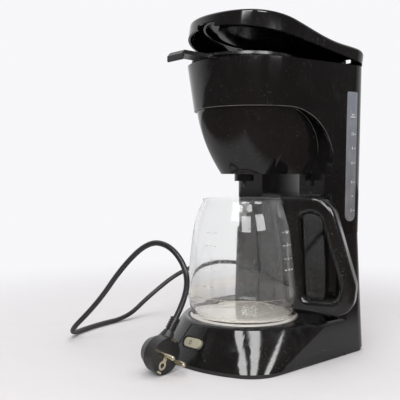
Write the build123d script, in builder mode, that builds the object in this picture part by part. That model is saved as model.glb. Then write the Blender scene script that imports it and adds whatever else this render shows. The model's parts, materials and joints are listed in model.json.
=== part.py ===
"""Drip coffee maker: a free-standing 12-cup machine, built as separate pieces in millimetres.

The origin is on the table under the middle of the base. +Z is up, the front looks to -Y and the
window for the water level is on the +X side. The lid stands ajar and the jug is on its plate.
"""
from build123d import *
from math import acos, asin, atan, cos, degrees, hypot, pi, radians, sin, tan
import os

os.makedirs("parts", exist_ok=True)

# overall sizes of the machine
base_half = 90.0
base_front = 107.0
base_rear = 107.0
deck_z = 43.0
seam_z = 137.0
band_z = 277.0
rim_z = 328.0
wall = 3.0
clearance = 0.3
fit = 0.05

# base housing
base_nose = 135.0
base_front_corner = 44.0
deck_nose = 70.0
deck_corner = 140.0
base_rear_corner = 21.0
deck_round = 5.0
cover_height = 3.5
cover_inset = 1.6
cover_floor = 2.0

# upper body
tower_half = 84.0
tower_rear = 104.0
head_radius = 74.0
band_radius = 66.5
head_half = 87.0
tower_front = 50.0
tower_corner = 15.0
rear_corner = 20.0
arch_radius = 60.0
arch_foot_z = 217.0
tank_floor = 3.0

# jug of glass and its handle
jug_y = -12.0
jug_floor_radius = 56.0
jug_heel_radius = 62.3
jug_heel_z = 54.0
jug_belly_radius = 65.3
jug_belly_z = 70.0
jug_waist_radius = 60.5
jug_waist_z = 123.0
jug_neck_radius = 49.5
jug_neck_z = 169.0
jug_rim_radius = 47.0
jug_top_z = 177.0
glass = 2.4
niche_gap = 3.6
handle_turn = 27.0
handle_reach = 129.0
handle_width = 24.0
handle_top_z = 181.0
handle_foot_z = 50.5
grip = 17.0
handle_setback = 28.0
handle_knee = 15.0
handle_heel = 4.0
handle_strip = 6.0
handle_round = 4.0
handle_edge = 6.0

# hot plate and the heater under it
plate_radius = 62.0
plate_proud = 0.5
plate_steel = 1.2
plate_lip = 6.0
gasket = 2.4
tube_radius = 5.0
tube_bore = 3.6
rod_radius = 3.4
heater_radius = 40.0
hose_radius = 6.5

stud_radius = 2.5
clamp_steel = 2.0
clamp_width = 14.0
nut_radius = 4.6
nut_height = 4.0
thermostat_radius = 9.0
spread_radius = 50.0
fuse_radius = 2.2
hose_wall = 1.6
outlet_x = 30.0
pipe_y = 80.0
riser_y = 74.0
nipple_reach = 14.0
valve_length = 24.0
ball_radius = 2.8
ball_travel = 3.0

# brewing bowl, basket and drip stop
bowl_top_inset = 3.3
bowl_room = 26.0
bowl_bulge = 4.5
bowl_floor_radius = 35.0
bowl_wall = 2.4
ledge_width = 4.4
boss_radius = 11.0
boss_drop = 8.0
basket_top_z = 334.0
basket_floor_z = 231.0
basket_radius = 57.0
basket_floor_radius = 28.0
basket_wall = 2.0
tab_width = 24.0
tab_reach = 114.0
tab_thick = 4.0
tab_drop = 10.0
stem_radius = 2.4
stem_drop = 7.0
stem_top = 219.5
bridge_z = 221.0
outlet_radius = 5.0
bowl_back_half = 49.0
basket_seat = 46.0
bowl_collar = 4.0
basket_lip = 3.0
valve_travel = 5.0

# lid and its hinge
lid_overhang = 1.0
lid_front = 14.0
lid_crown = 19.5
lid_crown_y = -20.0
lid_dip = 13.0
lid_hump = 15.0
lid_hump_y = 85.0
lid_tail = 13.0
lid_wall = 2.4
lid_round = 4.0
rib_outer = 50.0
rib_low = 12.5
spreader_radius = 31.0
spreader_low = 10.2
spreader_holes = 12
hole_radius = 1.6
lid_ajar = 11.0
hinge_rise = 5.0
hinge_barrel = 4.0
pin_radius = 1.5
knuckle_inner = 38.0
knuckle_outer = 54.0
lug_outer = 62.0

# level window in the right wall
window_y = 76.0
window_width = 15.5
window_low = 151.0
window_high = 298.0
window_flange = 1.5
window_corner = 2.0

# switch in the front wall
switch_x = 5.0
switch_z = 24.0
switch_length = 28.0
switch_height = 10.5
switch_tilt = 7.0
switch_frame = 1.9
switch_deep = 9.0
switch_proud = 1.8
switch_gap = 0.95
pivot_deep = 3.0
pivot_radius = 1.0

# mains cord and plug
cord_radius = 3.1
gland_x = -46.0
gland_z = 45.0
gland_radius = 6.0
boot_reach = 21.0
boot_end = 4.9
plug_radius = 19.0
plug_depth = 24.0
pin_reach = 19.0
pin_thick = 4.8
pin_spread = 19.0
relief_reach = 40.0
relief_ribs = 5
rib_margin = 8.0
rib_pitch = 2.6
cord_lead = 26.0
cord_lift = 0.4
plug_lean = (0.03, 0.55, 0.83)
plug_place = (12.5, -135.0, 19.5)

# screws, feet and vents under the base
boss_post = 5.0
boss_rear_height = 26.0
screw_shank = 1.6
screw_head = 3.3
screw_reach = 12.0
screw_front_inset = (28.0, 37.0)
screw_rear_inset = (7.0, 45.0)
foot_radius = 8.0
foot_front_inset = (42.0, 35.0)
foot_rear_inset = (24.0, 23.0)
plinth = 7.0
vent_count = 5
vent_length = 40.0
vent_width = 3.0
vent_pitch = 9.0

reach = 600.0
hinge_y = tower_rear + lid_overhang
hinge_z = rim_z + hinge_rise
bowl_floor_z = basket_floor_z - bowl_room
UP = (Align.CENTER, Align.CENTER, Align.MIN)
DOWN = (Align.CENTER, Align.CENTER, Align.MAX)
lug_middle = (knuckle_outer + lug_outer) / 2 + clearance / 2
lug_width = lug_outer - knuckle_outer - clearance
knuckle_middle = (knuckle_inner + knuckle_outer) / 2
knuckle_width = knuckle_outer - knuckle_inner
pin_middle = (knuckle_inner + lug_outer) / 2
jug_floor_z = deck_z + plate_proud + clearance
jug_axis = Location((0, jug_y, 0))


def save(piece, name):
    """Label a finished piece and write it to its own file."""
    piece.part.label = name
    export_step(piece.part, f"parts/{name}.step")


def base_outline(height, inset):
    """Draw the base at one height: bowed front that grows round towards the deck, rounded corners."""
    rise = min(1.0, height / deck_z)
    half = base_half - height * (base_half - tower_half) / seam_z - inset
    rear = base_rear - height * (base_rear - tower_rear) / seam_z - inset
    nose = base_nose + (deck_nose - base_nose) * rise - inset
    corner = base_front_corner + (deck_corner - base_front_corner) * rise - inset
    middle = base_nose - base_front + (jug_y - base_nose + base_front) * rise
    swing = acos((half - corner) / (nose - corner))
    touch_x, touch_y = nose * cos(swing), middle - nose * sin(swing)
    side_y = middle - (nose - corner) * sin(swing)
    bend_x = half - corner + corner * cos(swing / 2)
    bend_y = side_y - corner * sin(swing / 2)
    with BuildSketch(Plane.XY.offset(height)) as outline:
        with BuildLine():
            ThreePointArc((-touch_x, touch_y), (0, middle - nose), (touch_x, touch_y))
            ThreePointArc((touch_x, touch_y), (bend_x, bend_y), (half, side_y))
            Polyline((half, side_y), (half, rear), (-half, rear), (-half, side_y))
            ThreePointArc((-half, side_y), (-bend_x, bend_y), (-touch_x, touch_y))
        make_face()
        fillet(outline.vertices().group_by(Axis.Y)[-1], base_rear_corner - inset)
    return outline.sketch


def base_form(inset, low, high):
    """Loft the housing's outer form between two heights, drawn in by an inset."""
    with BuildPart() as form:
        loft([base_outline(low, inset), base_outline(high, inset)], ruled=True)
    return form.part


def corner_places(front_inset, rear_inset):
    """Give four places under the base, set in from its sides, its front and its rear."""
    front = (base_half - front_inset[0], front_inset[1] - base_front)
    rear = (base_half - rear_inset[0], base_rear - rear_inset[1])
    return [(side * x, y) for x, y in (front, rear) for side in (1, -1)]


def body_outline(height, inset):
    """Draw the upper body at one height: round front, sides that widen, rounded rear."""
    flare = max(0.0, (height - band_z) / (rim_z - band_z))
    radius = band_radius + (head_radius - band_radius) * flare - inset
    half = tower_half + (head_half - tower_half) * (height - seam_z) / (rim_z - seam_z) - inset
    rear = tower_rear - inset
    straight = tower_rear - rear_corner - wall
    lean = asin(radius / hypot(half, straight)) - asin(half / hypot(half, straight))
    touch_x, touch_y = radius * cos(lean), radius * sin(lean)
    with BuildSketch(Plane.XY.offset(height)) as outline:
        with BuildLine():
            ThreePointArc((-touch_x, touch_y), (0, -radius), (touch_x, touch_y))
            Polyline((touch_x, touch_y), (half, straight), (half, rear), (-half, rear),
                     (-half, straight), (-touch_x, touch_y))
        make_face()
        fillet(outline.vertices().group_by(Axis.Y)[-1], rear_corner - inset)
    return outline.sketch


def body_form(inset, low, high):
    """Loft the upper body's outer form through the step under the band, drawn in by an inset."""
    with BuildPart() as form:
        sections = [body_outline(height, inset) for height in (low, band_z, high)]
        loft(sections, ruled=True)
    return form.part


def front_block(plane_y):
    """Make a block that covers everything in front of a plane across the machine."""
    with BuildPart() as block:
        with Locations((0, plane_y, 0)):
            Box(reach, reach, reach, align=(Align.CENTER, Align.MAX, Align.MIN))
    return block.part


def rear_block(plane_y):
    """Make a block that covers everything behind a plane across the machine."""
    with BuildPart() as block:
        with Locations((0, plane_y, 0)):
            Box(reach, reach, reach, align=(Align.CENTER, Align.MIN, Align.MIN))
    return block.part


def upright_edges(piece, plane_y):
    """Pick the two upright edges at the ends of a wall across the machine."""
    return piece.edges().filter_by(
        lambda edge: abs(edge.center().Y - plane_y) < 0.1 and abs(edge.center().X) > tower_half / 2
    )


def tower_form(form, split_z, low_z, wall_y, corner):
    """Cut a tower with rounded front corners out of a lofted form."""
    with BuildPart() as tower:
        add(form)
        add(front_block(wall_y), mode=Mode.SUBTRACT)
        split(bisect_by=Plane.XY.offset(split_z), keep=Keep.BOTTOM)
        split(bisect_by=Plane.XY.offset(low_z), keep=Keep.TOP)
        fillet(upright_edges(tower, wall_y), corner)
    return tower.part


# base housing: skirt with a rounded deck, the foot of the tower, hollow from below
tower_low = deck_z - deck_round - 1
skirt_outer = base_form(0, cover_height, deck_z)
skirt_inner = base_form(wall, cover_height - 1, deck_z)
foot_outer = base_form(0, tower_low, seam_z)
foot_inner = base_form(wall, tower_low, seam_z + 1)
niche_radius = jug_belly_radius + niche_gap
screw_places = corner_places(screw_front_inset, screw_rear_inset)

front_rise = (base_front + jug_y - deck_nose) / deck_z
front_back = atan(front_rise)
switch_nose = base_nose + (deck_nose - base_nose) * switch_z / deck_z
switch_swing = asin(switch_x / switch_nose)
switch_y = switch_z * front_rise - base_front + switch_nose * (1 - cos(switch_swing))
switch_plane = Plane(
    origin=(switch_x, switch_y, switch_z),
    x_dir=(cos(switch_swing), sin(switch_swing), 0),
    z_dir=(sin(switch_swing) * cos(front_back), -cos(switch_swing) * cos(front_back), sin(front_back)),
)
rear_at_gland = base_rear - gland_z * (base_rear - tower_rear) / seam_z
gland_plane = Plane(origin=(gland_x, rear_at_gland, gland_z), x_dir=(1, 0, 0), z_dir=(0, 1, 0))

with BuildPart() as base_hollow:
    add(skirt_inner)
    split(bisect_by=Plane.XY.offset(deck_z - wall), keep=Keep.BOTTOM)
    add(tower_form(foot_inner, seam_z + 1, tower_low, tower_front + wall, tower_corner - wall))
    with Locations((0, jug_y, deck_z - wall)):
        Cylinder(niche_radius + wall, reach, align=UP, mode=Mode.SUBTRACT)

with BuildPart() as front_posts:
    with Locations([(x, y, cover_height) for x, y in screw_places[:2]]):
        Cylinder(boss_post, deck_z - cover_height - deck_round, align=UP)
    add(skirt_outer, mode=Mode.INTERSECT)

with BuildPart() as base_housing:
    add(skirt_outer)
    fillet(base_housing.edges().group_by(Axis.Z)[-1], deck_round)
    add(tower_form(foot_outer, seam_z, tower_low, tower_front, tower_corner))
    with Locations((0, jug_y, deck_z)):
        Cylinder(niche_radius, reach, align=UP, mode=Mode.SUBTRACT)
    add(base_hollow.part, mode=Mode.SUBTRACT)
    with Locations((0, jug_y, deck_z)):
        Cylinder(plate_radius + gasket, 2 * wall + clearance, mode=Mode.SUBTRACT)
    add(front_posts.part)
    with Locations([(x, y, cover_height) for x, y in screw_places[2:]]):
        Cylinder(boss_post, boss_rear_height, align=UP)
    with Locations([(x, y, cover_height) for x, y in screw_places]):
        Cylinder(screw_shank, screw_reach + wall, align=UP, mode=Mode.SUBTRACT)
    with BuildSketch(switch_plane):
        SlotOverall(switch_length + 2 * switch_frame, switch_height + 2 * switch_frame)
    extrude(amount=4 * wall, both=True, mode=Mode.SUBTRACT)
    with BuildSketch(gland_plane):
        Circle(gland_radius)
    extrude(amount=4 * wall, both=True, mode=Mode.SUBTRACT)
save(base_housing, "base_housing")

# bottom cover: plate with a plinth ring that the machine stands on
pocket = cover_height - cover_floor
foot_places = corner_places(foot_front_inset, foot_rear_inset)
with BuildPart() as bottom_cover:
    extrude(base_outline(0, cover_inset), amount=cover_height)
    extrude(base_outline(0, cover_inset + plinth), amount=pocket, mode=Mode.SUBTRACT)
    with Locations(screw_places):
        Cylinder(boss_post + 1, cover_height, align=UP)
        Cylinder(screw_shank + clearance, cover_height, align=UP, mode=Mode.SUBTRACT)
        Cylinder(screw_head + clearance, cover_floor, align=UP, mode=Mode.SUBTRACT)
    with BuildSketch():
        with GridLocations(vent_length + 2 * vent_width, vent_pitch, 2, vent_count):
            SlotOverall(vent_length, vent_width)
    extrude(amount=cover_height, mode=Mode.SUBTRACT)
save(bottom_cover, "bottom_cover")

with BuildPart() as rubber_feet:
    with Locations(foot_places):
        Cylinder(foot_radius, pocket, align=UP)
save(rubber_feet, "rubber_feet")

with BuildPart() as bottom_screws:
    with Locations([(x, y, cover_floor) for x, y in screw_places]):
        Cylinder(screw_shank, screw_reach, align=UP)
        Cylinder(screw_head, cover_floor - pocket / 2, align=DOWN)
save(bottom_screws, "bottom_screws")

# hot plate: pressed steel cap with a stud, sealed by a rubber ring
plate_top = deck_z + plate_proud
plate_under = plate_top - plate_steel
with BuildPart() as hot_plate:
    with Locations((0, jug_y, plate_top)):
        Cylinder(plate_radius, plate_lip, align=DOWN)
    fillet(hot_plate.edges().group_by(Axis.Z)[-1], plate_steel)
    with Locations((0, jug_y, plate_under)):
        Cylinder(plate_radius - plate_steel, plate_lip, align=DOWN, mode=Mode.SUBTRACT)
    with Locations((0, jug_y, plate_under)):
        Cylinder(stud_radius, plate_lip + 2 * tube_radius + clamp_steel + nut_height + 2, align=DOWN)
save(hot_plate, "hot_plate")

with BuildPart() as plate_gasket:
    with Locations((0, jug_y, deck_z)):
        Cylinder(plate_radius + gasket, plate_lip - plate_proud, align=DOWN)
    with Locations((0, jug_y, deck_z - wall)):
        Cylinder(plate_radius + 2 * gasket, plate_lip - plate_proud - wall, align=DOWN)
    with Locations((0, jug_y, deck_z)):
        Cylinder(plate_radius, 4 * plate_lip, mode=Mode.SUBTRACT)
save(plate_gasket, "plate_gasket")

# heater under the plate: water tube and heating rod, both bent to a U that opens to the rear
spread_z = plate_top - plate_lip - hose_wall - clearance
tube_z = spread_z - tube_radius
rod_z = spread_z - rod_radius
rod_bend = heater_radius + tube_radius + rod_radius
hose_turn = 3 * tube_radius
tube_leg = tower_front - jug_y - 12
rod_leg = tube_leg - hose_turn - wall


def u_path(bend, height, leg):
    """Draw a U round the plate's middle, open to the rear."""
    with BuildLine() as path:
        Line((bend, jug_y + leg, height), (bend, jug_y, height))
        ThreePointArc((bend, jug_y, height), (0, jug_y - bend, height), (-bend, jug_y, height))
        Line((-bend, jug_y, height), (-bend, jug_y + leg, height))
    return path.line


with BuildPart() as heat_spreader:
    with Locations((0, jug_y, plate_under)):
        Cylinder(spread_radius, plate_under - spread_z, align=DOWN)
        Cylinder(stud_radius + fit, plate_under - spread_z, align=DOWN, mode=Mode.SUBTRACT)
save(heat_spreader, "heat_spreader")

tube_line = u_path(heater_radius, tube_z, tube_leg)
with BuildPart() as heater_tube:
    with BuildSketch(Plane(origin=tube_line @ 0, z_dir=tube_line % 0)):
        Circle(tube_radius)
        Circle(tube_bore, mode=Mode.SUBTRACT)
    sweep(path=tube_line)
save(heater_tube, "heater_tube")

rod_line = u_path(rod_bend, rod_z, rod_leg)
with BuildPart() as heating_rod:
    with BuildSketch(Plane(origin=rod_line @ 0, z_dir=rod_line % 0)):
        Circle(rod_radius)
    sweep(path=rod_line)
    with Locations((rod_bend, jug_y + rod_leg, rod_z), (-rod_bend, jug_y + rod_leg, rod_z)):
        Box(1, 8, 5, align=(Align.CENTER, Align.MIN, Align.CENTER))
save(heating_rod, "heating_rod")

clamp_z = spread_z - 2 * tube_radius
with BuildPart() as heater_clamp:
    with Locations((0, jug_y, clamp_z)):
        Box(2 * heater_radius + 2 * tube_radius, clamp_width, clamp_steel, align=DOWN)
        Cylinder(stud_radius + fit, clamp_steel, align=DOWN, mode=Mode.SUBTRACT)
    fillet(heater_clamp.edges().filter_by(Axis.Z).group_by(Axis.X)[0], clamp_width / 3)
    fillet(heater_clamp.edges().filter_by(Axis.Z).group_by(Axis.X)[-1], clamp_width / 3)
save(heater_clamp, "heater_clamp")

with BuildPart() as clamp_nut:
    with BuildSketch(Plane.XY.offset(clamp_z - clamp_steel)):
        with Locations((0, jug_y)):
            RegularPolygon(nut_radius, 6)
            Circle(stud_radius + fit, mode=Mode.SUBTRACT)
    extrude(amount=-nut_height)
save(clamp_nut, "clamp_nut")

with BuildPart() as thermostat:
    with Locations((0, jug_y + clamp_width + thermostat_radius, spread_z)):
        Cylinder(thermostat_radius, thermostat_radius - 1, align=DOWN)
    with Locations((0, jug_y + clamp_width + thermostat_radius, spread_z - thermostat_radius + 1)):
        with GridLocations(thermostat_radius, 1, 2, 1):
            Box(1, 5, 7, align=DOWN)
save(thermostat, "thermostat")

with BuildPart() as thermal_fuse:
    with Locations(Location((0, jug_y - clamp_width - fuse_radius, spread_z - fuse_radius), (0, 90, 0))):
        Cylinder(fuse_radius, 10 * fuse_radius)
        Cylinder(fuse_radius / 4, 18 * fuse_radius)
save(thermal_fuse, "thermal_fuse")

# upper body: band of the head, arch down to the tower, water tank behind
body_outer = body_form(0, seam_z, rim_z)
body_inner = body_form(wall, seam_z, rim_z + 1)
body_core = body_form(wall + window_flange, seam_z, rim_z + 1)
arch_split = band_z - tower_corner
arch_end_y = tower_front + tower_corner + wall
hinge_axis = Axis((0, hinge_y, hinge_z), (1, 0, 0))
hinge_line = Location((0, hinge_y, hinge_z), (0, 90, 0))
lug_barrels = [Location((side * lug_middle, hinge_y, hinge_z), (0, 90, 0)) for side in (1, -1)]
knuckle_barrels = [Location((side * knuckle_middle, hinge_y, hinge_z), (0, 90, 0)) for side in (1, -1)]

with BuildPart() as under_arch:
    with BuildSketch(Plane.YZ):
        with BuildLine():
            Polyline((-reach, 0), (-reach, band_z), (tower_front - arch_radius, band_z))
            RadiusArc((tower_front - arch_radius, band_z), (tower_front, arch_foot_z), arch_radius)
            Polyline((tower_front, arch_foot_z), (arch_end_y, arch_foot_z - 2 * tower_corner),
                     (reach, arch_foot_z - 2 * tower_corner), (reach, 0), (-reach, 0))
        make_face()
    extrude(amount=reach, both=True)

with BuildPart() as tank_hollow:
    add(body_inner)
    add(front_block(tower_front + wall), mode=Mode.SUBTRACT)
    split(bisect_by=Plane.XY.offset(arch_split), keep=Keep.TOP)
    add(tower_form(body_inner, arch_split, seam_z + tank_floor, tower_front + wall, tower_corner - wall))
    with Locations((0, jug_y, seam_z)):
        Cylinder(niche_radius + wall, bowl_floor_z + wall - seam_z, align=UP, mode=Mode.SUBTRACT)

with BuildPart() as brew_well:
    add(body_inner)
    add(rear_block(tower_front), mode=Mode.SUBTRACT)


def window_slot(margin):
    """Make the long prism of the level window, round below and square above, grown by a margin."""
    tall = window_high - window_low + 2 * margin
    wide = window_width + 2 * margin
    with BuildPart() as slot:
        with BuildSketch(Plane.YZ) as face:
            with Locations((window_y, (window_low + window_high) / 2)):
                Rectangle(wide, tall)
            fillet(face.vertices().group_by(Axis.Y)[-1], window_corner)
            fillet(face.vertices().group_by(Axis.Y)[0], wide / 2 - fit)
        extrude(amount=reach / 2)
    return slot.part


with BuildPart() as upper_body:
    add(body_outer)
    add(under_arch.part, mode=Mode.SUBTRACT)
    add(tower_form(body_outer, arch_split, seam_z, tower_front, tower_corner))
    add(brew_well.part, mode=Mode.SUBTRACT)
    add(tank_hollow.part, mode=Mode.SUBTRACT)
    with Locations((0, jug_y, seam_z)):
        Cylinder(niche_radius, bowl_floor_z - seam_z, align=UP, mode=Mode.SUBTRACT)
    add(window_slot(0), mode=Mode.SUBTRACT)
    with Locations((outlet_x, pipe_y, seam_z)):
        Cylinder(tube_radius, nipple_reach, align=DOWN)
    with Locations((outlet_x, pipe_y, seam_z + tank_floor)):
        Cylinder(tube_bore, nipple_reach + tank_floor, align=DOWN, mode=Mode.SUBTRACT)
    with Locations((-heater_radius, riser_y, seam_z)):
        Cylinder(tube_radius, tank_floor, align=UP, mode=Mode.SUBTRACT)
    with Locations((-heater_radius, tower_front + wall / 2, rim_z)):
        Box(4 * tube_radius, 2 * wall, 4 * tube_radius, mode=Mode.SUBTRACT)
    with Locations((lug_middle, hinge_y, rim_z), (-lug_middle, hinge_y, rim_z)):
        Box(lug_width, 2 * hinge_barrel, 4 * wall, align=(Align.CENTER, Align.CENTER, Align.CENTER))
        Box(lug_width, 2 * hinge_barrel, hinge_z - rim_z, align=UP)
    with Locations(lug_barrels):
        Cylinder(hinge_barrel, lug_width)
    with Locations(hinge_line):
        Cylinder(pin_radius, reach, mode=Mode.SUBTRACT)
save(upper_body, "upper_body")

# level window: clear strip in the right wall with a flange inside the tank
with BuildPart() as window_pane:
    add(body_outer)
    add(body_inner, mode=Mode.SUBTRACT)
    add(window_slot(-fit), mode=Mode.INTERSECT)
with BuildPart() as window_inside:
    add(body_inner)
    add(body_core, mode=Mode.SUBTRACT)
    add(window_slot(wall), mode=Mode.INTERSECT)
with BuildPart() as level_window:
    add(window_pane.part)
    add(window_inside.part)
save(level_window, "level_window")

# water path: outlet valve, two hoses, riser and spout
valve_top = seam_z - nipple_reach / 2
valve_low = valve_top - valve_length
seat_z = valve_low + valve_length / 2
with BuildPart() as check_valve:
    with Locations((outlet_x, pipe_y, valve_low)):
        Cylinder(tube_radius + hose_wall, valve_length, align=UP)
        Cylinder(tube_bore, valve_length, align=UP, mode=Mode.SUBTRACT)
    with Locations((outlet_x, pipe_y, valve_top)):
        Cylinder(tube_radius, nipple_reach / 2, align=DOWN, mode=Mode.SUBTRACT)
    with Locations((outlet_x, pipe_y, seat_z)):
        Cylinder(tube_bore + 1, wall, align=UP)
        Cylinder(ball_radius - 1, wall, align=UP, mode=Mode.SUBTRACT)
    with Locations((outlet_x, pipe_y, seat_z - 2 * ball_radius - ball_travel - 1)):
        Box(2 * tube_bore + 2, 1, 2, align=DOWN)
        Box(1, 2 * tube_bore + 2, 2, align=DOWN)
save(check_valve, "check_valve")

with BuildPart() as valve_ball:
    with Locations((outlet_x, pipe_y, seat_z - ball_radius - ball_travel - 0.7)):
        Sphere(ball_radius)
save(valve_ball, "valve_ball")


def hose(points):
    """Sweep a hose with its bore along a bent line."""
    with BuildLine() as path:
        FilletPolyline(*points, radius=hose_turn)
    route = path.line
    with BuildPart() as tube:
        with BuildSketch(Plane(origin=route @ 0, z_dir=route % 0)):
            Circle(tube_radius + hose_wall)
            Circle(tube_radius, mode=Mode.SUBTRACT)
        sweep(path=route)
    return tube.part


leg_end = jug_y + tube_leg
with BuildPart() as inlet_hose:
    add(hose([
        (heater_radius, leg_end - hose_turn, tube_z),
        (heater_radius, pipe_y, tube_z),
        (heater_radius, pipe_y, valve_low - 2 * hose_turn),
        (outlet_x, pipe_y, valve_low - hose_turn),
        (outlet_x, pipe_y, valve_low),
    ]))
save(inlet_hose, "inlet_hose")

riser_low = seam_z - nipple_reach
with BuildPart() as outlet_hose:
    add(hose([
        (-heater_radius, leg_end - hose_turn, tube_z),
        (-heater_radius, riser_y, tube_z),
        (-heater_radius, riser_y, riser_low + nipple_reach / 2),
    ]))
save(outlet_hose, "outlet_hose")

with BuildPart() as riser_tube:
    with Locations((-heater_radius, riser_y, riser_low)):
        Cylinder(tube_radius, rim_z - riser_low, align=UP)
    with Locations((-heater_radius, riser_y, seam_z + tank_floor)):
        Cylinder(2 * tube_radius, wall, align=UP)
    with Locations((-heater_radius, riser_y, riser_low)):
        Cylinder(tube_bore, reach, align=UP, mode=Mode.SUBTRACT)
save(riser_tube, "riser_tube")

spout_z = rim_z - tube_radius
with BuildPart() as spout:
    with Locations((-heater_radius, riser_y, rim_z)):
        Cylinder(tube_radius + hose_wall, 2 * hose_wall + 2, align=UP)
    with Locations((-heater_radius, riser_y, rim_z - 8)):
        Cylinder(tube_radius + hose_wall, 8, align=UP)
    with Locations(Location((-heater_radius, riser_y, rim_z), (90, 0, 0))):
        Cylinder(tube_radius, riser_y - tower_front + wall, align=UP)
        Cylinder(tube_bore, riser_y - tower_front + 2 * wall, align=UP, mode=Mode.SUBTRACT)
    with Locations((-heater_radius, riser_y, rim_z)):
        Cylinder(tube_radius, reach, align=DOWN, mode=Mode.SUBTRACT)
save(spout, "spout")

# brewing bowl under the band, with the drip outlet over the jug


def bowl_outline(height, inset):
    """Draw the bowl at one height: round front that widens to the tower's wall."""
    rise = (height - bowl_floor_z) / (band_z - bowl_floor_z)
    swell = 4 * bowl_bulge * rise * (1 - rise) - inset
    radius = bowl_floor_radius + (band_radius - bowl_top_inset - bowl_floor_radius) * rise + swell
    half = bowl_back_half + (band_radius - bowl_top_inset - bowl_back_half) * rise + swell
    back = tower_front - fit - inset
    with BuildSketch(Plane.XY.offset(height)) as outline:
        with BuildLine():
            ThreePointArc((-radius, 0), (0, -radius), (radius, 0))
            Polyline((radius, 0), (half, back), (-half, back), (-radius, 0))
        make_face()
    return outline.sketch


def bowl_form(low, inset):
    """Loft the bulging bowl from one height up to the band, drawn in by an inset."""
    with BuildPart() as form:
        loft([bowl_outline(low + (band_z - low) * step / 4, inset) for step in range(5)])
    return form.part


bowl_inner_z = bowl_floor_z + bowl_wall
boss_low = bowl_floor_z - boss_drop
with BuildPart() as brew_bowl:
    add(bowl_form(bowl_floor_z, 0))
    extrude(bowl_outline(band_z, 0), amount=bowl_collar)
    add(bowl_form(bowl_inner_z, bowl_wall), mode=Mode.SUBTRACT)
    extrude(bowl_outline(band_z, bowl_wall), amount=bowl_collar, mode=Mode.SUBTRACT)
    with Locations((0, jug_y, boss_low)):
        Cylinder(boss_radius, boss_drop + bowl_wall, align=UP)
        Cylinder(outlet_radius, boss_drop + bowl_wall, align=UP, mode=Mode.SUBTRACT)
    extrude(bowl_outline(band_z, bowl_wall / 2), amount=-bowl_wall)
    with Locations((0, jug_y, band_z)):
        Cylinder(basket_seat, 4 * bowl_wall, mode=Mode.SUBTRACT)
save(brew_bowl, "brew_bowl")

# filter basket: tapered cup that hangs on the bowl's ledge, with a flat tab to lift it by
def basket_radius_at(height):
    """Give the basket's outer radius at one height."""
    rise = (height - basket_floor_z) / (basket_top_z - basket_floor_z)
    return basket_floor_radius + (basket_radius - basket_floor_radius) * rise


tab_top = rim_z + clearance + tab_thick
tab_root = jug_y - basket_radius_at(rim_z) + basket_wall - 2 * fit
with BuildPart() as basket_cup:
    with BuildSketch(Plane.XZ):
        with BuildLine():
            Polyline(
                (0, basket_floor_z),
                (basket_floor_radius, basket_floor_z),
                (basket_radius_at(band_z), band_z),
                (basket_seat + ledge_width / 2, band_z),
                (basket_seat + ledge_width / 2, band_z + basket_wall),
                (basket_radius_at(band_z + basket_wall), band_z + basket_wall),
                (basket_radius_at(basket_top_z - basket_lip), basket_top_z - basket_lip),
                (basket_radius + basket_lip, basket_top_z - basket_lip),
                (basket_radius + basket_lip, basket_top_z),
                (basket_radius - basket_wall, basket_top_z),
                (basket_floor_radius - basket_wall, basket_floor_z + basket_wall),
                (0, basket_floor_z + basket_wall),
                (0, basket_floor_z),
            )
        make_face()
    revolve(axis=Axis.Z)

with BuildPart() as filter_basket:
    with Locations((0, jug_y, 0)):
        add(basket_cup.part)
    with Locations((0, jug_y, basket_floor_z)):
        Cylinder(outlet_radius, 4 * basket_wall, mode=Mode.SUBTRACT)
    with BuildSketch(Plane.YZ):
        with BuildLine():
            Polyline(
                (tab_root, tab_top),
                (-tab_reach + tab_thick, tab_top),
                (-tab_reach, tab_top - tab_thick),
                (-tab_reach, tab_top - tab_drop),
                (-tab_reach + tab_thick / 2, tab_top - tab_drop),
                (-tab_reach + tab_thick, tab_top - tab_thick),
                (tab_root, tab_top - tab_thick),
                (tab_root, tab_top),
            )
        make_face()
    extrude(amount=tab_width / 2, both=True)
    fillet(filter_basket.edges().filter_by(Axis.X).group_by(Axis.Y)[0], 1)
save(filter_basket, "filter_basket")

# drip stop: sprung plunger with a rubber seal under a bridge
seal_z = bowl_inner_z + 1.2
with BuildPart() as drip_plunger:
    with Locations((0, jug_y, boss_low - stem_drop)):
        Cylinder(stem_radius, seal_z - boss_low + stem_drop, align=UP)
    with Locations((0, jug_y, seal_z)):
        Cylinder(outlet_radius + 2, 1.6, align=UP)
        Cylinder(stem_radius - 0.4, stem_top - seal_z, align=UP)
save(drip_plunger, "drip_plunger")

with BuildPart() as drip_seal:
    with Locations((0, jug_y, bowl_inner_z + clearance)):
        Cylinder(outlet_radius + 1.6, seal_z - bowl_inner_z - clearance, align=UP)
        Cylinder(stem_radius, seal_z, align=UP, mode=Mode.SUBTRACT)
save(drip_seal, "drip_seal")

with BuildPart() as drip_bridge:
    with Locations((0, jug_y, bridge_z)):
        Cylinder(outlet_radius + 5, 2, align=UP)
        Cylinder(stem_radius, 2, align=UP, mode=Mode.SUBTRACT)
        with PolarLocations(outlet_radius + 7, 3):
            Box(6, 4, 2, align=UP)
    with Locations((0, jug_y, bowl_inner_z)):
        with PolarLocations(outlet_radius + 9, 3):
            Box(2.4, 4, bridge_z + 2 - bowl_inner_z, align=UP)
save(drip_bridge, "drip_bridge")

# lid: skirt, low dome, ribs and hinge barrels, built shut and then turned ajar
lid_low = rim_z + clearance
spreader_z = lid_low + spreader_low


def lid_section(height, inset):
    """Place the lid's outline at one height."""
    return body_outline(rim_z, inset).moved(Location((0, 0, height - rim_z)))


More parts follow.
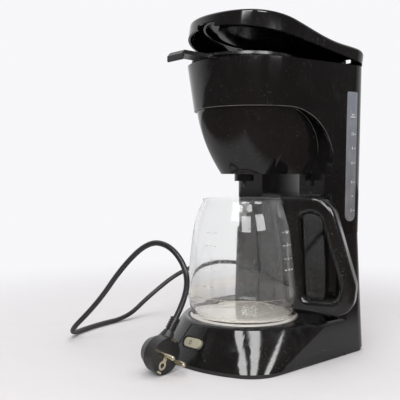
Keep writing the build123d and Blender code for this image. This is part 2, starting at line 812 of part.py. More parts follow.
def lid_prism(drop):
    """Make the prism under the lid's waved top, as seen from the side and lowered by a drop."""
    nose_y = -head_radius - 2 * lid_overhang
    tail_y = tower_rear + 2 * lid_overhang
    top_z = lid_low - drop
    with BuildPart() as prism:
        with BuildSketch(Plane.YZ):
            with BuildLine():
                Spline(
                    (nose_y, top_z + lid_front),
                    (lid_crown_y, top_z + lid_crown),
                    (tower_front, top_z + lid_dip),
                    (lid_hump_y, top_z + lid_hump),
                    (tail_y, top_z + lid_tail),
                )
                Polyline((tail_y, top_z + lid_tail), (tail_y, rim_z), (nose_y, rim_z),
                         (nose_y, top_z + lid_front))
            make_face()
        extrude(amount=reach / 2, both=True)
    return prism.part


with BuildPart() as lid_shell:
    extrude(lid_section(lid_low, -lid_overhang), amount=2 * lid_crown)
    add(lid_prism(0), mode=Mode.INTERSECT)
    fillet(lid_shell.faces().sort_by(Axis.Z)[-1].edges(), lid_round)

with BuildPart() as lid_room:
    extrude(lid_section(lid_low, lid_wall - lid_overhang), amount=2 * lid_crown)
    add(lid_prism(lid_wall), mode=Mode.INTERSECT)

with BuildPart() as lid_ribs:
    for rib, low in ((rib_outer, rib_low), (spreader_radius + 2, spreader_low)):
        with Locations((0, jug_y, lid_low + low)):
            Cylinder(rib, 2 * lid_crown, align=UP)
            Cylinder(rib - lid_wall, 2 * lid_crown, align=UP, mode=Mode.SUBTRACT)
    add(lid_shell.part, mode=Mode.INTERSECT)

with BuildPart() as lid:
    add(lid_shell.part)
    add(lid_room.part, mode=Mode.SUBTRACT)
    add(lid_ribs.part)
    with BuildSketch(Plane.XZ.offset(-jug_y)):
        with Locations((0, lid_low)):
            Rectangle(tab_width + 10 * clearance, 2 * (tab_top + 1.2 - lid_low))
    extrude(amount=reach / 2, mode=Mode.SUBTRACT)
    with Locations((knuckle_middle, hinge_y, hinge_z), (-knuckle_middle, hinge_y, hinge_z)):
        Box(knuckle_width, 2 * hinge_barrel, 2 * hinge_barrel, align=(Align.CENTER, Align.MAX, Align.CENTER))
    with Locations(knuckle_barrels):
        Cylinder(hinge_barrel, knuckle_width)
    with Locations(lug_barrels):
        Cylinder(2 * hinge_barrel, lug_width + 2 * clearance, mode=Mode.SUBTRACT)
    with Locations(hinge_line):
        Cylinder(pin_radius + fit, reach, mode=Mode.SUBTRACT)
lid.part = lid.part.rotate(hinge_axis, -lid_ajar)
save(lid, "lid")

with BuildPart() as spreader_plate:
    with Locations((0, jug_y, spreader_z)):
        Cylinder(spreader_radius - lid_wall + 2 - fit, lid_wall, align=UP)
        with PolarLocations(spreader_radius * 0.72, spreader_holes):
            Cylinder(hole_radius, lid_wall, align=UP, mode=Mode.SUBTRACT)
        with PolarLocations(spreader_radius * 0.36, spreader_holes // 2):
            Cylinder(hole_radius, lid_wall, align=UP, mode=Mode.SUBTRACT)
spreader_plate.part = spreader_plate.part.rotate(hinge_axis, -lid_ajar)
save(spreader_plate, "spreader_plate")

with BuildPart() as hinge_pins:
    with Locations([Location((side * pin_middle, hinge_y, hinge_z), (0, 90, 0)) for side in (1, -1)]):
        Cylinder(pin_radius, lug_outer - knuckle_inner)
save(hinge_pins, "hinge_pins")

# jug: blown glass with a belly, and a moulded handle that follows the glass


def jug_profile(inset, top_z):
    """Draw half of the jug's section as seen from its axis, drawn in by an inset."""
    floor_z = jug_floor_z + inset
    with BuildSketch(Plane.XZ) as half:
        with BuildLine():
            Polyline((0, top_z), (0, floor_z), (jug_floor_radius - inset, floor_z))
            Spline(
                (jug_floor_radius - inset, floor_z),
                (jug_heel_radius - inset, jug_heel_z),
                (jug_belly_radius - inset, jug_belly_z),
                tangents=((1, 0.1), (0.12, 1)),
            )
            Spline(
                (jug_belly_radius - inset, jug_belly_z),
                (jug_waist_radius - inset, jug_waist_z),
                (jug_neck_radius - inset, jug_neck_z),
                (jug_rim_radius - inset, top_z),
                tangents=((-0.06, 1), (0.05, 1)),
            )
            Line((jug_rim_radius - inset, top_z), (0, top_z))
        make_face()
    return half.sketch


with BuildPart() as jug_form:
    revolve(jug_profile(-fit, jug_top_z), axis=Axis.Z)

with BuildPart() as jug_glass:
    revolve(jug_profile(0, jug_top_z), axis=Axis.Z)
    revolve(jug_profile(glass, jug_top_z + 1), axis=Axis.Z, mode=Mode.SUBTRACT)
jug_glass.part = jug_glass.part.moved(jug_axis)
save(jug_glass, "jug_glass")

top_reach = handle_reach - handle_setback
strip_top = jug_waist_radius + handle_strip + 1
strip_low = jug_belly_radius + handle_strip + 1
gap_reach = top_reach - grip + handle_round
opening = gap_reach - strip_top
knee_z = jug_belly_z + handle_knee
heel_z = handle_foot_z + grip
knee_round = min(0.83 * opening, 1.1 * (knee_z - 2 - heel_z))
heel_round = min(0.42 * opening, 0.56 * (knee_z - 2 - heel_z))
with BuildPart() as jug_handle:
    with BuildSketch(Plane.XZ) as loop:
        with BuildLine():
            FilletPolyline(
                (jug_rim_radius - wall, handle_top_z),
                (top_reach, handle_top_z),
                (handle_reach, knee_z),
                (handle_reach - handle_heel, handle_foot_z),
                (jug_belly_radius - 3 * handle_strip, handle_foot_z),
                (jug_rim_radius - wall, handle_top_z),
                radius=[1, handle_setback, 1.75 * grip, 1.3 * grip, 1],
            )
        make_face()
        with BuildLine():
            FilletPolyline(
                (strip_top, jug_neck_z - 0.6 * grip),
                (gap_reach, jug_neck_z - handle_round),
                (handle_reach - grip, knee_z - 2),
                (handle_reach - grip - handle_round, heel_z),
                (strip_low, heel_z),
                (strip_top, jug_neck_z - 0.6 * grip),
                radius=[0.25 * opening, 0.58 * opening, knee_round, heel_round, 0.25 * opening],
            )
        make_face(mode=Mode.SUBTRACT)
    extrude(amount=handle_width / 2, both=True)
    fillet(jug_handle.edges().filter_by(Plane.XZ), handle_edge)
    add(jug_form.part, mode=Mode.SUBTRACT)
jug_handle.part = jug_handle.part.rotate(Axis.Z, handle_turn).moved(jug_axis)
save(jug_handle, "jug_handle")

# rocker switch in the leaning front wall
pivot_plane = Plane(
    switch_plane.offset(-pivot_deep).origin, x_dir=switch_plane.x_dir, z_dir=switch_plane.y_dir)
with BuildPart() as switch_body:
    with BuildSketch(switch_plane.offset(-switch_deep)):
        SlotOverall(switch_length + 2 * switch_frame, switch_height + 2 * switch_frame)
    extrude(amount=switch_deep + switch_proud / 2)
    with BuildSketch(switch_plane.offset(-switch_deep)):
        Rectangle(switch_length, switch_height)
    extrude(amount=-switch_deep)
    with BuildSketch(switch_plane.offset(-switch_deep + wall)):
        SlotOverall(switch_length + 2 * switch_gap, switch_height + 2 * switch_gap)
    extrude(amount=switch_deep, mode=Mode.SUBTRACT)
    with BuildSketch(pivot_plane):
        Circle(pivot_radius + fit)
    extrude(amount=switch_height / 2 + switch_frame - 0.4, both=True, mode=Mode.SUBTRACT)
save(switch_body, "switch_body")

rocker_axis = Axis(pivot_plane.origin, switch_plane.y_dir)
with BuildPart() as switch_rocker:
    with BuildSketch(switch_plane.offset(-pivot_deep)):
        SlotOverall(switch_length, switch_height)
    extrude(amount=pivot_deep + switch_proud)
    fillet(switch_rocker.faces().sort_by(Axis(switch_plane.origin, switch_plane.z_dir))[-1].edges(), 0.8)
    with BuildSketch(pivot_plane):
        Circle(pivot_radius)
    extrude(amount=switch_height / 2 + switch_gap + 0.3, both=True)
switch_rocker.part = switch_rocker.part.rotate(rocker_axis, -switch_tilt)
save(switch_rocker, "switch_rocker")

# mains cord: gland in the rear wall, an arch down to the table and another to the plug
with BuildPart() as cord_gland:
    with BuildSketch(gland_plane.offset(-2 * wall)):
        Circle(gland_radius)
    extrude(amount=4 * wall)
    with BuildSketch(gland_plane.offset(wall / 4)):
        Circle(gland_radius + 2)
    extrude(amount=wall / 2)
    with BuildSketch(gland_plane.offset(wall / 2)):
        Circle(gland_radius)
    with BuildSketch(gland_plane.offset(boot_reach)):
        Circle(boot_end)
    loft(ruled=True)
    with BuildSketch(gland_plane.offset(-4 * wall)):
        Circle(cord_radius)
    extrude(amount=4 * wall + 2 * boot_reach, mode=Mode.SUBTRACT)
save(cord_gland, "cord_gland")

lean_size = sum(part**2 for part in plug_lean) ** 0.5
lean_dir = Vector(*plug_lean) / lean_size
face_dir = (Vector(1, 0.15, 0) - lean_dir * lean_dir.dot(Vector(1, 0.15, 0))).normalized()
plug_face = Plane(origin=plug_place, x_dir=lean_dir, z_dir=face_dir)
plug_core = plug_face.offset(-plug_depth / 2)
relief_end = plug_core.origin + lean_dir * relief_reach
lie = cord_radius + cord_lift
cord_points = [
    (gland_x, rear_at_gland - wall, gland_z),
    (gland_x, 146, gland_z),
    (-88, 172, 54),
    (-140, 160, 66),
    (-176, 110, 77),
    (-200, 58, 64),
    (-215, 8, 28),
    (-213, -30, lie),
    (-206, -84, lie),
    (-178, -147, 4),
    (-130, -129, 50),
    (-92, -118, 98),
    (-52, -110, 130),
    (-20, -104, 128),
    (2, -99, 104),
    tuple(relief_end + lean_dir * cord_lead),
    tuple(relief_end),
]


def bend_radii(points):
    """Give each corner the widest bend that leaves a tenth of the shorter run straight."""
    radii = []
    for before, corner, after in zip(points, points[1:], points[2:]):
        come = Vector(*corner) - Vector(*before)
        go = Vector(*after) - Vector(*corner)
        half_turn = radians(come.get_angle(go)) / 2
        radii.append(0.45 * min(come.length, go.length) / tan(half_turn))
    return radii


cord_bends = bend_radii(cord_points)
with BuildPart() as power_cord:
    with BuildLine() as cord_route:
        FilletPolyline(*cord_points, radius=cord_bends)
    with BuildSketch(Plane(origin=cord_route.line @ 0, z_dir=cord_route.line % 0)):
        Circle(cord_radius)
    sweep(path=cord_route.line)
cord_length = sum(edge.length for edge in cord_route.edges())
cord_share = power_cord.part.volume / (pi * cord_radius**2 * cord_length)
print("cord length", round(cord_length, 1), "volume share", round(cord_share, 4))
least_bend = 5 * 2 * cord_radius
print("cord bends", [round(radius, 1) for radius in cord_bends], "least", round(least_bend, 1))
save(power_cord, "power_cord")

with BuildPart() as plug_body:
    with BuildSketch(plug_face):
        Circle(plug_radius)
    with BuildSketch(plug_face.offset(-plug_depth * 0.55)):
        Circle(plug_radius)
    with BuildSketch(plug_face.offset(-plug_depth)):
        Circle(plug_radius * 0.72)
    loft(ruled=True)
    with BuildSketch(Plane(plug_core.origin + lean_dir * plug_radius * 0.6, z_dir=lean_dir)):
        Circle(plug_depth * 0.42)
    with BuildSketch(Plane(plug_core.origin + lean_dir * (plug_radius + 6), z_dir=lean_dir)):
        Circle(cord_radius + 2.4)
    loft(ruled=True)
    with BuildSketch(Plane(plug_core.origin + lean_dir * plug_radius, z_dir=lean_dir)):
        Circle(cord_radius + 1.6)
    extrude(amount=relief_reach - plug_radius)
    for rib in range(relief_ribs):
        rib_start = plug_radius + rib_margin + rib * rib_pitch
        with BuildSketch(Plane(plug_core.origin + lean_dir * rib_start, z_dir=lean_dir)):
            Circle(cord_radius + 2.4)
        extrude(amount=1.5)
    with BuildSketch(Plane(relief_end, z_dir=lean_dir)):
        Circle(cord_radius)
    extrude(amount=-2, mode=Mode.SUBTRACT)
save(plug_body, "plug_body")

with BuildPart() as plug_pins:
    with BuildSketch(plug_face):
        with GridLocations(1, pin_spread, 1, 2):
            Circle(pin_thick / 2)
    extrude(amount=pin_reach)
    rims = plug_pins.edges().filter_by(GeomType.CIRCLE)
    fillet(rims.sort_by(Axis(plug_face.origin, plug_face.z_dir))[-2:], pin_thick / 4)
save(plug_pins, "plug_pins")

with BuildPart() as plug_contacts:
    for side in (1, -1):
        with BuildSketch(plug_face):
            with Locations((side * (plug_radius - 1.6), 0)):
                Rectangle(2, 6)
        extrude(amount=1)
save(plug_contacts, "plug_contacts")
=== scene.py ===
"""Looks of the drip coffee maker: finishes, printed marks, mains lead, studio and camera.

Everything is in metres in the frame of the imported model. The bodies and their pieces come from the
frame. This script dresses them, and adds the printed marks, the smooth line of the mains lead and
the earth contact of its plug.
"""

import json
import logging
import math
from dataclasses import dataclass
from enum import Enum
from functools import cache
from typing import Any, Dict, Optional, Sequence, Tuple, Union

import bmesh
import bpy
from mathutils import Matrix, Vector

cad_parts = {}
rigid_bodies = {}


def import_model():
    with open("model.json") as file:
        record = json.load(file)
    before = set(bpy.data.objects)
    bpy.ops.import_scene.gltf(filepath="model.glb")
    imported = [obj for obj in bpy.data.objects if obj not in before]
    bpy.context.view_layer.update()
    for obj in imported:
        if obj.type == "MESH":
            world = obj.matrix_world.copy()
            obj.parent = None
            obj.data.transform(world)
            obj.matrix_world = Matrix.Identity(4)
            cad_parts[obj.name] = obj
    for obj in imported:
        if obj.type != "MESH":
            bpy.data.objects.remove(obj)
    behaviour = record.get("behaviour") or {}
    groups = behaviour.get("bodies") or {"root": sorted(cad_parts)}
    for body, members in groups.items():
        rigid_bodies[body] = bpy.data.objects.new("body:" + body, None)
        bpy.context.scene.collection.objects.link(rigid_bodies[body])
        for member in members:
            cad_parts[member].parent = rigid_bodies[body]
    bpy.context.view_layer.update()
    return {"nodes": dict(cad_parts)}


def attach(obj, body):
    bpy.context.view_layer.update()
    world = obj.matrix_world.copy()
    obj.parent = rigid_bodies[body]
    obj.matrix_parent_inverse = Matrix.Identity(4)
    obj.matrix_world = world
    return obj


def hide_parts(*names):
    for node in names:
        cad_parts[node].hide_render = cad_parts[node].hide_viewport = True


LOG = logging.getLogger("coffee_maker")
Colour = Tuple[float, float, float]
Point = Tuple[float, float, float]
Span = Tuple[float, float]
Bar = Tuple[Span, Span]
Lamp = Tuple[str, Point, Span, float]
Material = bpy.types.Material
Node = bpy.types.Node
Object = bpy.types.Object
Shape = bmesh.types.BMesh
Socket = bpy.types.NodeSocket
Tree = bpy.types.NodeTree
TOP_MARK = "top"
DOT_MARK = "dot"
WHOLE: Span = (0.0, 1.0)
FALLING: Span = (1.0, 0.0)


class Body(Enum):
    """Bodies that carry new pieces."""

    MACHINE = "machine"
    JUG = "jug"
    ROCKER = "switch_rocker"


class Net:
    """Adds and joins nodes in one shader tree."""

    MIX_SHARE = 0
    MIX_FIRST = 6
    MIX_SECOND = 7
    MIX_RESULT = 2

    def __init__(self, tree: Tree) -> None:
        """Keep the tree that the nodes go into."""
        self.tree = tree

    def feed(self, node: Node, values: Dict[Any, Any]) -> None:
        """Set inputs of a node.

        Args:
            node: Node to feed.
            values: Input names or numbers with a value, or with the output that feeds them.
        """
        for key, value in values.items():
            if isinstance(value, Socket):
                self.tree.links.new(value, node.inputs[key])
            else:
                node.inputs[key].default_value = value

    def add(self, kind: str, values: Optional[Dict[Any, Any]] = None, **settings: Any) -> Node:
        """Add one node.

        Args:
            kind: Blender's name of the node type.
            values: Inputs, as for feed.
            settings: Properties of the node itself.

        Returns:
            The new node.
        """
        node = self.tree.nodes.new(kind)
        for key, value in settings.items():
            setattr(node, key, value)
        self.feed(node, values or {})
        return node

    def math(self, operation: str, first: Any, second: Any, clamp: bool = False) -> Socket:
        """Join two numbers by a sum, product or other operation.

        Args:
            operation: Name of the operation.
            first: Left value or output.
            second: Right value or output.
            clamp: True to keep the result between 0 and 1.

        Returns:
            The output with the result.
        """
        values = {0: first, 1: second}
        node = self.add("ShaderNodeMath", values, operation=operation, use_clamp=clamp)
        return node.outputs[0]

    def times(self, first: Any, second: Any, clamp: bool = False) -> Socket:
        """Multiply two numbers.

        Args:
            first: Left value or output.
            second: Right value or output.
            clamp: True to keep the result between 0 and 1.

        Returns:
            The output with the product.
        """
        return self.math("MULTIPLY", first, second, clamp)

    def ramp(self, value: Any, limits: Span, results: Span = WHOLE) -> Socket:
        """Spread a value smoothly between two limits.

        Args:
            value: Output to spread.
            limits: Values that give the first and the second result.
            results: The two results.

        Returns:
            The output with the result.
        """
        names = ("Value", "From Min", "From Max", "To Min", "To Max")
        values = dict(zip(names, (value, *limits, *results)))
        node = self.add("ShaderNodeMapRange", values, interpolation_type="SMOOTHSTEP")
        return node.outputs["Result"]

    def blend(self, share: Any, first: Any, second: Any) -> Socket:
        """Mix two colours.

        Args:
            share: Share of the second colour.
            first: Colour or output at share 0.
            second: Colour or output at share 1.

        Returns:
            The output with the mixed colour.
        """
        node = self.add("ShaderNodeMix", {self.MIX_SHARE: share}, data_type="RGBA")
        for key, paint in ((self.MIX_FIRST, first), (self.MIX_SECOND, second)):
            self.feed(node, {key: (*paint, 1.0) if isinstance(paint, tuple) else paint})
        return node.outputs[self.MIX_RESULT]

    def noise(self, place: Any, scale: Any, detail: float, distortion: float = 0.0) -> Socket:
        """Make cloudy noise over a place.

        Args:
            place: Output with the coordinates.
            scale: Number of clouds per metre.
            detail: Number of finer layers.
            distortion: How much the clouds swirl.

        Returns:
            The output with values round 0.5.
        """
        values = {"Vector": place, "Scale": scale, "Detail": detail, "Distortion": distortion}
        return self.add("ShaderNodeTexNoise", values).outputs[0]

    def stretch(self, place: Any, factors: Point, turn: Point = (0.0, 0.0, 0.0)) -> Socket:
        """Stretch and turn coordinates.

        Args:
            place: Output with the coordinates.
            factors: Factor along each axis.
            turn: Turn about each axis, in radians.

        Returns:
            The output with the changed coordinates.
        """
        values = {"Vector": place, "Rotation": turn, "Scale": factors}
        return self.add("ShaderNodeMapping", values).outputs[0]

    def axis(self, place: Any, letter: str) -> Socket:
        """Give one coordinate of a place.

        Args:
            place: Output with the coordinates.
            letter: X, Y or Z.

        Returns:
            The output with the number.
        """
        return self.add("ShaderNodeSeparateXYZ", {0: place}).outputs[letter]

    def length(self, place: Any) -> Socket:
        """Give the distance of a place from the origin.

        Args:
            place: Output with the coordinates.

        Returns:
            The output with the distance.
        """
        node = self.add("ShaderNodeVectorMath", {0: place}, operation="LENGTH")
        return node.outputs["Value"]

    def bump(self, height: Any, strength: float, distance: float) -> Socket:
        """Turn a height into a bent normal.

        Args:
            height: Output with the height.
            strength: Share of the effect.
            distance: Height of the whole effect.

        Returns:
            The output with the normal.
        """
        values = {"Height": height, "Strength": strength, "Distance": distance}
        return self.add("ShaderNodeBump", values).outputs[0]

    def effect(self, tree: Tree, place: Any, scale: float) -> Node:
        """Add a shared effect.

        Args:
            tree: Node group of the effect.
            place: Output with the coordinates.
            scale: Scale of the effect.

        Returns:
            The group's node.
        """
        return self.add("ShaderNodeGroup", {"Place": place, "Scale": scale}, node_tree=tree)

    def show_mix(self, share: Any, first: Node, second: Node) -> None:
        """Show a mix of two shaders as the surface.

        Args:
            share: Share of the second shader.
            first: Shader at share 0.
            second: Shader at share 1.
        """
        values = {0: share, 1: first.outputs[0], 2: second.outputs[0]}
        mix = self.add("ShaderNodeMixShader", values)
        self.feed(self.tree.nodes["Material Output"], {"Surface": mix.outputs[0]})


class Effects:
    """Node groups that several finishes share."""

    FACING = (0.1, 0.9)
    FACING_DUST = (0.18, 1.0)
    DUST_CLOUD = (0.42, 0.72)
    SPECK_FINENESS = 22.0
    SPECK_CHANCE = (0.86, 0.9)
    SPECK_EDGE = (0.12, 0.26)
    SPECK_CLOUD = (0.05, 0.6)
    SPECK_SHARE = (0.25, 1.0)
    SMEAR_CLOUD = (0.48, 0.74)
    WIPE_STRETCH = (1.0, 1.0, 0.22)
    WIPE_TURN = (0.3, 0.2, 0.0)
    WIPE_FINENESS = 6.0
    WIPE_CLOUD = (0.4, 0.75)
    SCRATCH_WAYS = (((0.5, 0.3, 0.2), (1.0, 1.0, 0.02)), ((1.1, 0.2, 0.9), (0.02, 1.0, 1.0)))
    SCRATCH_EDGE = (0.0, 0.02)
    SCRATCH_PATCH_SCALE = 22.0
    SCRATCH_PATCH = (0.55, 0.72)
    COARSE_FINENESS = 0.06
    COARSE_SHARE = 0.65
    FINE_SHARE = 0.35

    @staticmethod
    def _start(name: str, outputs: Sequence[str], extra: Sequence[str] = ()) -> Tuple[Net, Any, Node]:
        """Open a new group that takes a place and a scale.

        Args:
            name: Name of the group.
            outputs: Names of its number outputs.
            extra: Names of its other number inputs.

        Returns:
            The net of the group, the outputs of its input node, and its output node.
        """
        tree = bpy.data.node_groups.new(name, "ShaderNodeTree")
        tree.interface.new_socket("Place", in_out="INPUT", socket_type="NodeSocketVector")
        for label in ("Scale", *extra):
            tree.interface.new_socket(label, in_out="INPUT", socket_type="NodeSocketFloat")
        for label in outputs:
            tree.interface.new_socket(label, in_out="OUTPUT", socket_type="NodeSocketFloat")
        net = Net(tree)
        return net, net.add("NodeGroupInput").outputs, net.add("NodeGroupOutput")

    @classmethod
    @cache
    def settled_dust(cls) -> Tree:
        """Fine dust that lies mostly on faces that look up, and specks."""
        net, given, result = cls._start("settled_dust", ["Film", "Specks"], ["Cover"])
        facing = net.axis(net.add("ShaderNodeNewGeometry").outputs["Normal"], "Z")
        upward = net.ramp(facing, cls.FACING, cls.FACING_DUST)
        clouds = net.noise(given["Place"], given["Scale"], detail=6.0)
        cloud = net.ramp(clouds, cls.DUST_CLOUD)
        film = net.times(net.times(cloud, upward), given["Cover"], clamp=True)
        fine = net.times(given["Scale"], cls.SPECK_FINENESS)
        values = {"Vector": given["Place"], "Scale": fine}
        cells = net.add("ShaderNodeTexVoronoi", values).outputs
        chance = net.add("ShaderNodeSeparateColor", {0: cells["Color"]}).outputs[0]
        picked = net.ramp(chance, cls.SPECK_CHANCE)
        dots = net.times(net.ramp(cells["Distance"], cls.SPECK_EDGE, FALLING), picked)
        gathered = net.ramp(cloud, cls.SPECK_CLOUD, cls.SPECK_SHARE)
        net.feed(result, {"Film": film, "Specks": net.times(dots, gathered, clamp=True)})
        return net.tree

    @classmethod
    @cache
    def finger_smears(cls) -> Tree:
        """Broad greasy smears and wiped streaks."""
        net, given, result = cls._start("finger_smears", ["Mask"])
        clouds = net.noise(given["Place"], given["Scale"], detail=3.0, distortion=0.8)
        broad = net.ramp(clouds, cls.SMEAR_CLOUD)
        wiped = net.stretch(given["Place"], cls.WIPE_STRETCH, cls.WIPE_TURN)
        fine = net.times(given["Scale"], cls.WIPE_FINENESS)
        streak = net.ramp(net.noise(wiped, fine, detail=5.0, distortion=0.4), cls.WIPE_CLOUD)
        net.feed(result, {"Mask": net.times(broad, streak, clamp=True)})
        return net.tree

    @classmethod
    @cache
    def hair_scratches(cls) -> Tree:
        """Thin crossing scratches from wiping and use."""
        net, given, result = cls._start("hair_scratches", ["Mask"])
        lines: Any = 0.0
        for turn, factors in cls.SCRATCH_WAYS:
            bent = net.stretch(given["Place"], factors, turn)
            values = {"Vector": bent, "Scale": given["Scale"]}
            cells = net.add("ShaderNodeTexVoronoi", values, feature="DISTANCE_TO_EDGE")
            line = net.ramp(cells.outputs["Distance"], cls.SCRATCH_EDGE, FALLING)
            lines = net.math("MAXIMUM", lines, line)
        clouds = net.noise(given["Place"], cls.SCRATCH_PATCH_SCALE, detail=3.0)
        patch = net.ramp(clouds, cls.SCRATCH_PATCH)
        net.feed(result, {"Mask": net.times(lines, patch, clamp=True)})
        return net.tree

    @classmethod
    @cache
    def moulded_grain(cls) -> Tree:
        """Fine unevenness of a moulded surface."""
        net, given, result = cls._start("moulded_grain", ["Height"])
        broad = net.times(given["Scale"], cls.COARSE_FINENESS)
        coarse = net.times(net.noise(given["Place"], broad, detail=2.0), cls.COARSE_SHARE)
        fine = net.times(net.noise(given["Place"], given["Scale"], detail=3.0), cls.FINE_SHARE)
        net.feed(result, {"Height": net.math("ADD", coarse, fine)})
        return net.tree


def new_material(name: str) -> Tuple[Material, Net, Node, Socket]:
    """Start a material with one Principled shader.

    Args:
        name: Name of the material.

    Returns:
        The material, its net, the shader and the output with the object's own coordinates.
    """
    material = bpy.data.materials.new(name)
    material.use_nodes = True
    material.node_tree.nodes.clear()
    net = Net(material.node_tree)
    shader = net.add("ShaderNodeBsdfPrincipled")
    net.add("ShaderNodeOutputMaterial", {"Surface": shader.outputs[0]})
    return material, net, shader, net.add("ShaderNodeTexCoord").outputs["Object"]


@dataclass(frozen=True)
class ArchEdgeHighlight:
    """Painted highlight along the lower edge of the head's band, which runs on round the arch to the
    tower: a lighter strip, broken into patches.
    """

    colour: Colour = (0.17, 0.17, 0.166)
    centre_y: float = -0.01
    centre_z: float = 0.217
    radius: float = 0.06
    clear: float = 0.0001
    width: float = 0.0007
    soft: float = 0.0003
    fade: Span = (0.225, 0.237)
    patch_scale: float = 60.0
    patch: Span = (0.25, 0.6)
    patch_share: Span = (0.5, 1.0)

    def mask(self, net: Net, place: Socket) -> Socket:
        """Find the strip of the painted edge highlight.

        Args:
            net: Net of the material.
            place: Output with the coordinates.

        Returns:
            The output with up to 1 on the strip and 0 away from it.
        """
        height = net.axis(place, "Z")
        back = net.math("SUBTRACT", net.axis(place, "Y"), self.centre_y)
        rise = net.math("SUBTRACT", height, self.centre_z)
        sides = {0: net.math("MAXIMUM", back, 0.0), 1: net.math("MAXIMUM", rise, 0.0)}
        reach = net.length(net.add("ShaderNodeCombineXYZ", sides).outputs[0])
        beyond = net.math("SUBTRACT", reach, self.radius)
        inner = net.ramp(beyond, (self.clear, self.clear + self.soft))
        outer = net.ramp(beyond, (self.width - self.soft, self.width + self.soft), FALLING)
        clouds = net.noise(place, self.patch_scale, detail=3.0)
        # patches that break up the painted highlight along the edge
        highlight_breakup = net.ramp(clouds, self.patch, self.patch_share)
        strip = net.times(net.times(inner, outer), net.ramp(height, self.fade))
        return net.times(strip, highlight_breakup)


@dataclass(frozen=True)
class PlasticFinish:
    """Moulded plastic or rubber with dust, smears, scratches and grain, and on the shell a painted
    highlight along an edge.
    """

    name: str
    colour: Colour
    tint: Colour
    roughness: float
    smeared: float
    dust: float = 0.1
    dust_colour: Colour = (0.36, 0.34, 0.32)
    specks: float = 0.5
    scratched: float = 0.06
    grain_depth: float = 0.02
    edge: Optional[ArchEdgeHighlight] = None
    dust_scale: float = 34.0
    smear_scale: float = 16.0
    scratch_scale: float = 170.0
    grain_scale: float = 900.0
    tint_scale: float = 9.0
    tint_cloud: Span = (0.3, 0.7)
    film_share: float = 0.5
    film_roughness: float = 0.35
    smear_share: float = 0.04
    wear_colour: Colour = (0.3, 0.3, 0.3)
    speck_colour: Colour = (0.7, 0.69, 0.67)
    scratch_height: float = -0.1
    grain_height: float = 0.0006
    ior: float = 1.5

    def material(self) -> Material:
        """Build the material of this finish."""
        material, net, shader, place = new_material(self.name)
        dust = net.effect(Effects.settled_dust(), place, self.dust_scale)
        net.feed(dust, {"Cover": self.dust})
        film = dust.outputs["Film"]
        smear = net.effect(Effects.finger_smears(), place, self.smear_scale).outputs["Mask"]
        lines = net.effect(Effects.hair_scratches(), place, self.scratch_scale).outputs["Mask"]
        grain = net.effect(Effects.moulded_grain(), place, self.grain_scale).outputs["Height"]
        clouds = net.ramp(net.noise(place, self.tint_scale, detail=3.0), self.tint_cloud)
        colour = net.blend(clouds, self.colour, self.tint)
        layers = (
            (film, self.film_share, self.dust_colour),
            (smear, self.smear_share, self.wear_colour),
            (dust.outputs["Specks"], self.specks, self.speck_colour),
            (lines, self.scratched, self.wear_colour),
        )
        for mask, share, paint in layers:
            colour = net.blend(net.times(mask, share), colour, paint)
        # painted highlight: lighter strip along the band's lower edge and round the arch
        if self.edge:
            colour = net.blend(self.edge.mask(net, place), colour, self.edge.colour)
        rough = net.ramp(smear, WHOLE, (self.roughness, self.smeared))
        rough = net.math("ADD", rough, net.times(film, self.film_roughness))
        rough = net.math("ADD", rough, net.times(lines, self.scratched), clamp=True)
        height = net.math("ADD", grain, net.times(lines, self.scratch_height))
        normal = net.bump(height, self.grain_depth, self.grain_height)
        values = {"Base Color": colour, "Roughness": rough, "Normal": normal, "IOR": self.ior}
        net.feed(shader, values)
        return material


@dataclass(frozen=True)
class MetalFinish:
    """Bare metal with fine turned or drawn lines and stains."""

    name: str
    colour: Colour
    stain: Colour
    roughness: float
    lines: Point
    stained: float = 0.35
    metallic: float = 1.0
    line_scale: float = 60.0
    line_cloud: Span = (0.3, 0.7)
    line_spread: Span = (0.8, 1.25)
    line_depth: float = 0.06
    line_height: float = 0.0004
    stain_scale: float = 26.0
    stain_cloud: Span = (0.45, 0.75)
    smear_scale: float = 24.0
    smear_roughness: float = 0.18

    def material(self) -> Material:
        """Build the material of this finish."""
        material, net, shader, place = new_material(self.name)
        drawn = net.noise(net.stretch(place, self.lines), self.line_scale, detail=6.0)
        smear = net.effect(Effects.finger_smears(), place, self.smear_scale).outputs["Mask"]
        clouds = net.noise(place, self.stain_scale, detail=5.0, distortion=0.6)
        patches = net.times(net.ramp(clouds, self.stain_cloud), self.stained)
        fine, coarse = (self.roughness * factor for factor in self.line_spread)
        rough = net.ramp(drawn, self.line_cloud, (fine, coarse))
        rough = net.math("ADD", rough, net.times(smear, self.smear_roughness), clamp=True)
        values = {
            "Base Color": net.blend(patches, self.colour, self.stain),
            "Roughness": rough,
            "Normal": net.bump(drawn, self.line_depth, self.line_height),
            "Metallic": self.metallic,
        }
        net.feed(shader, values)
        return material


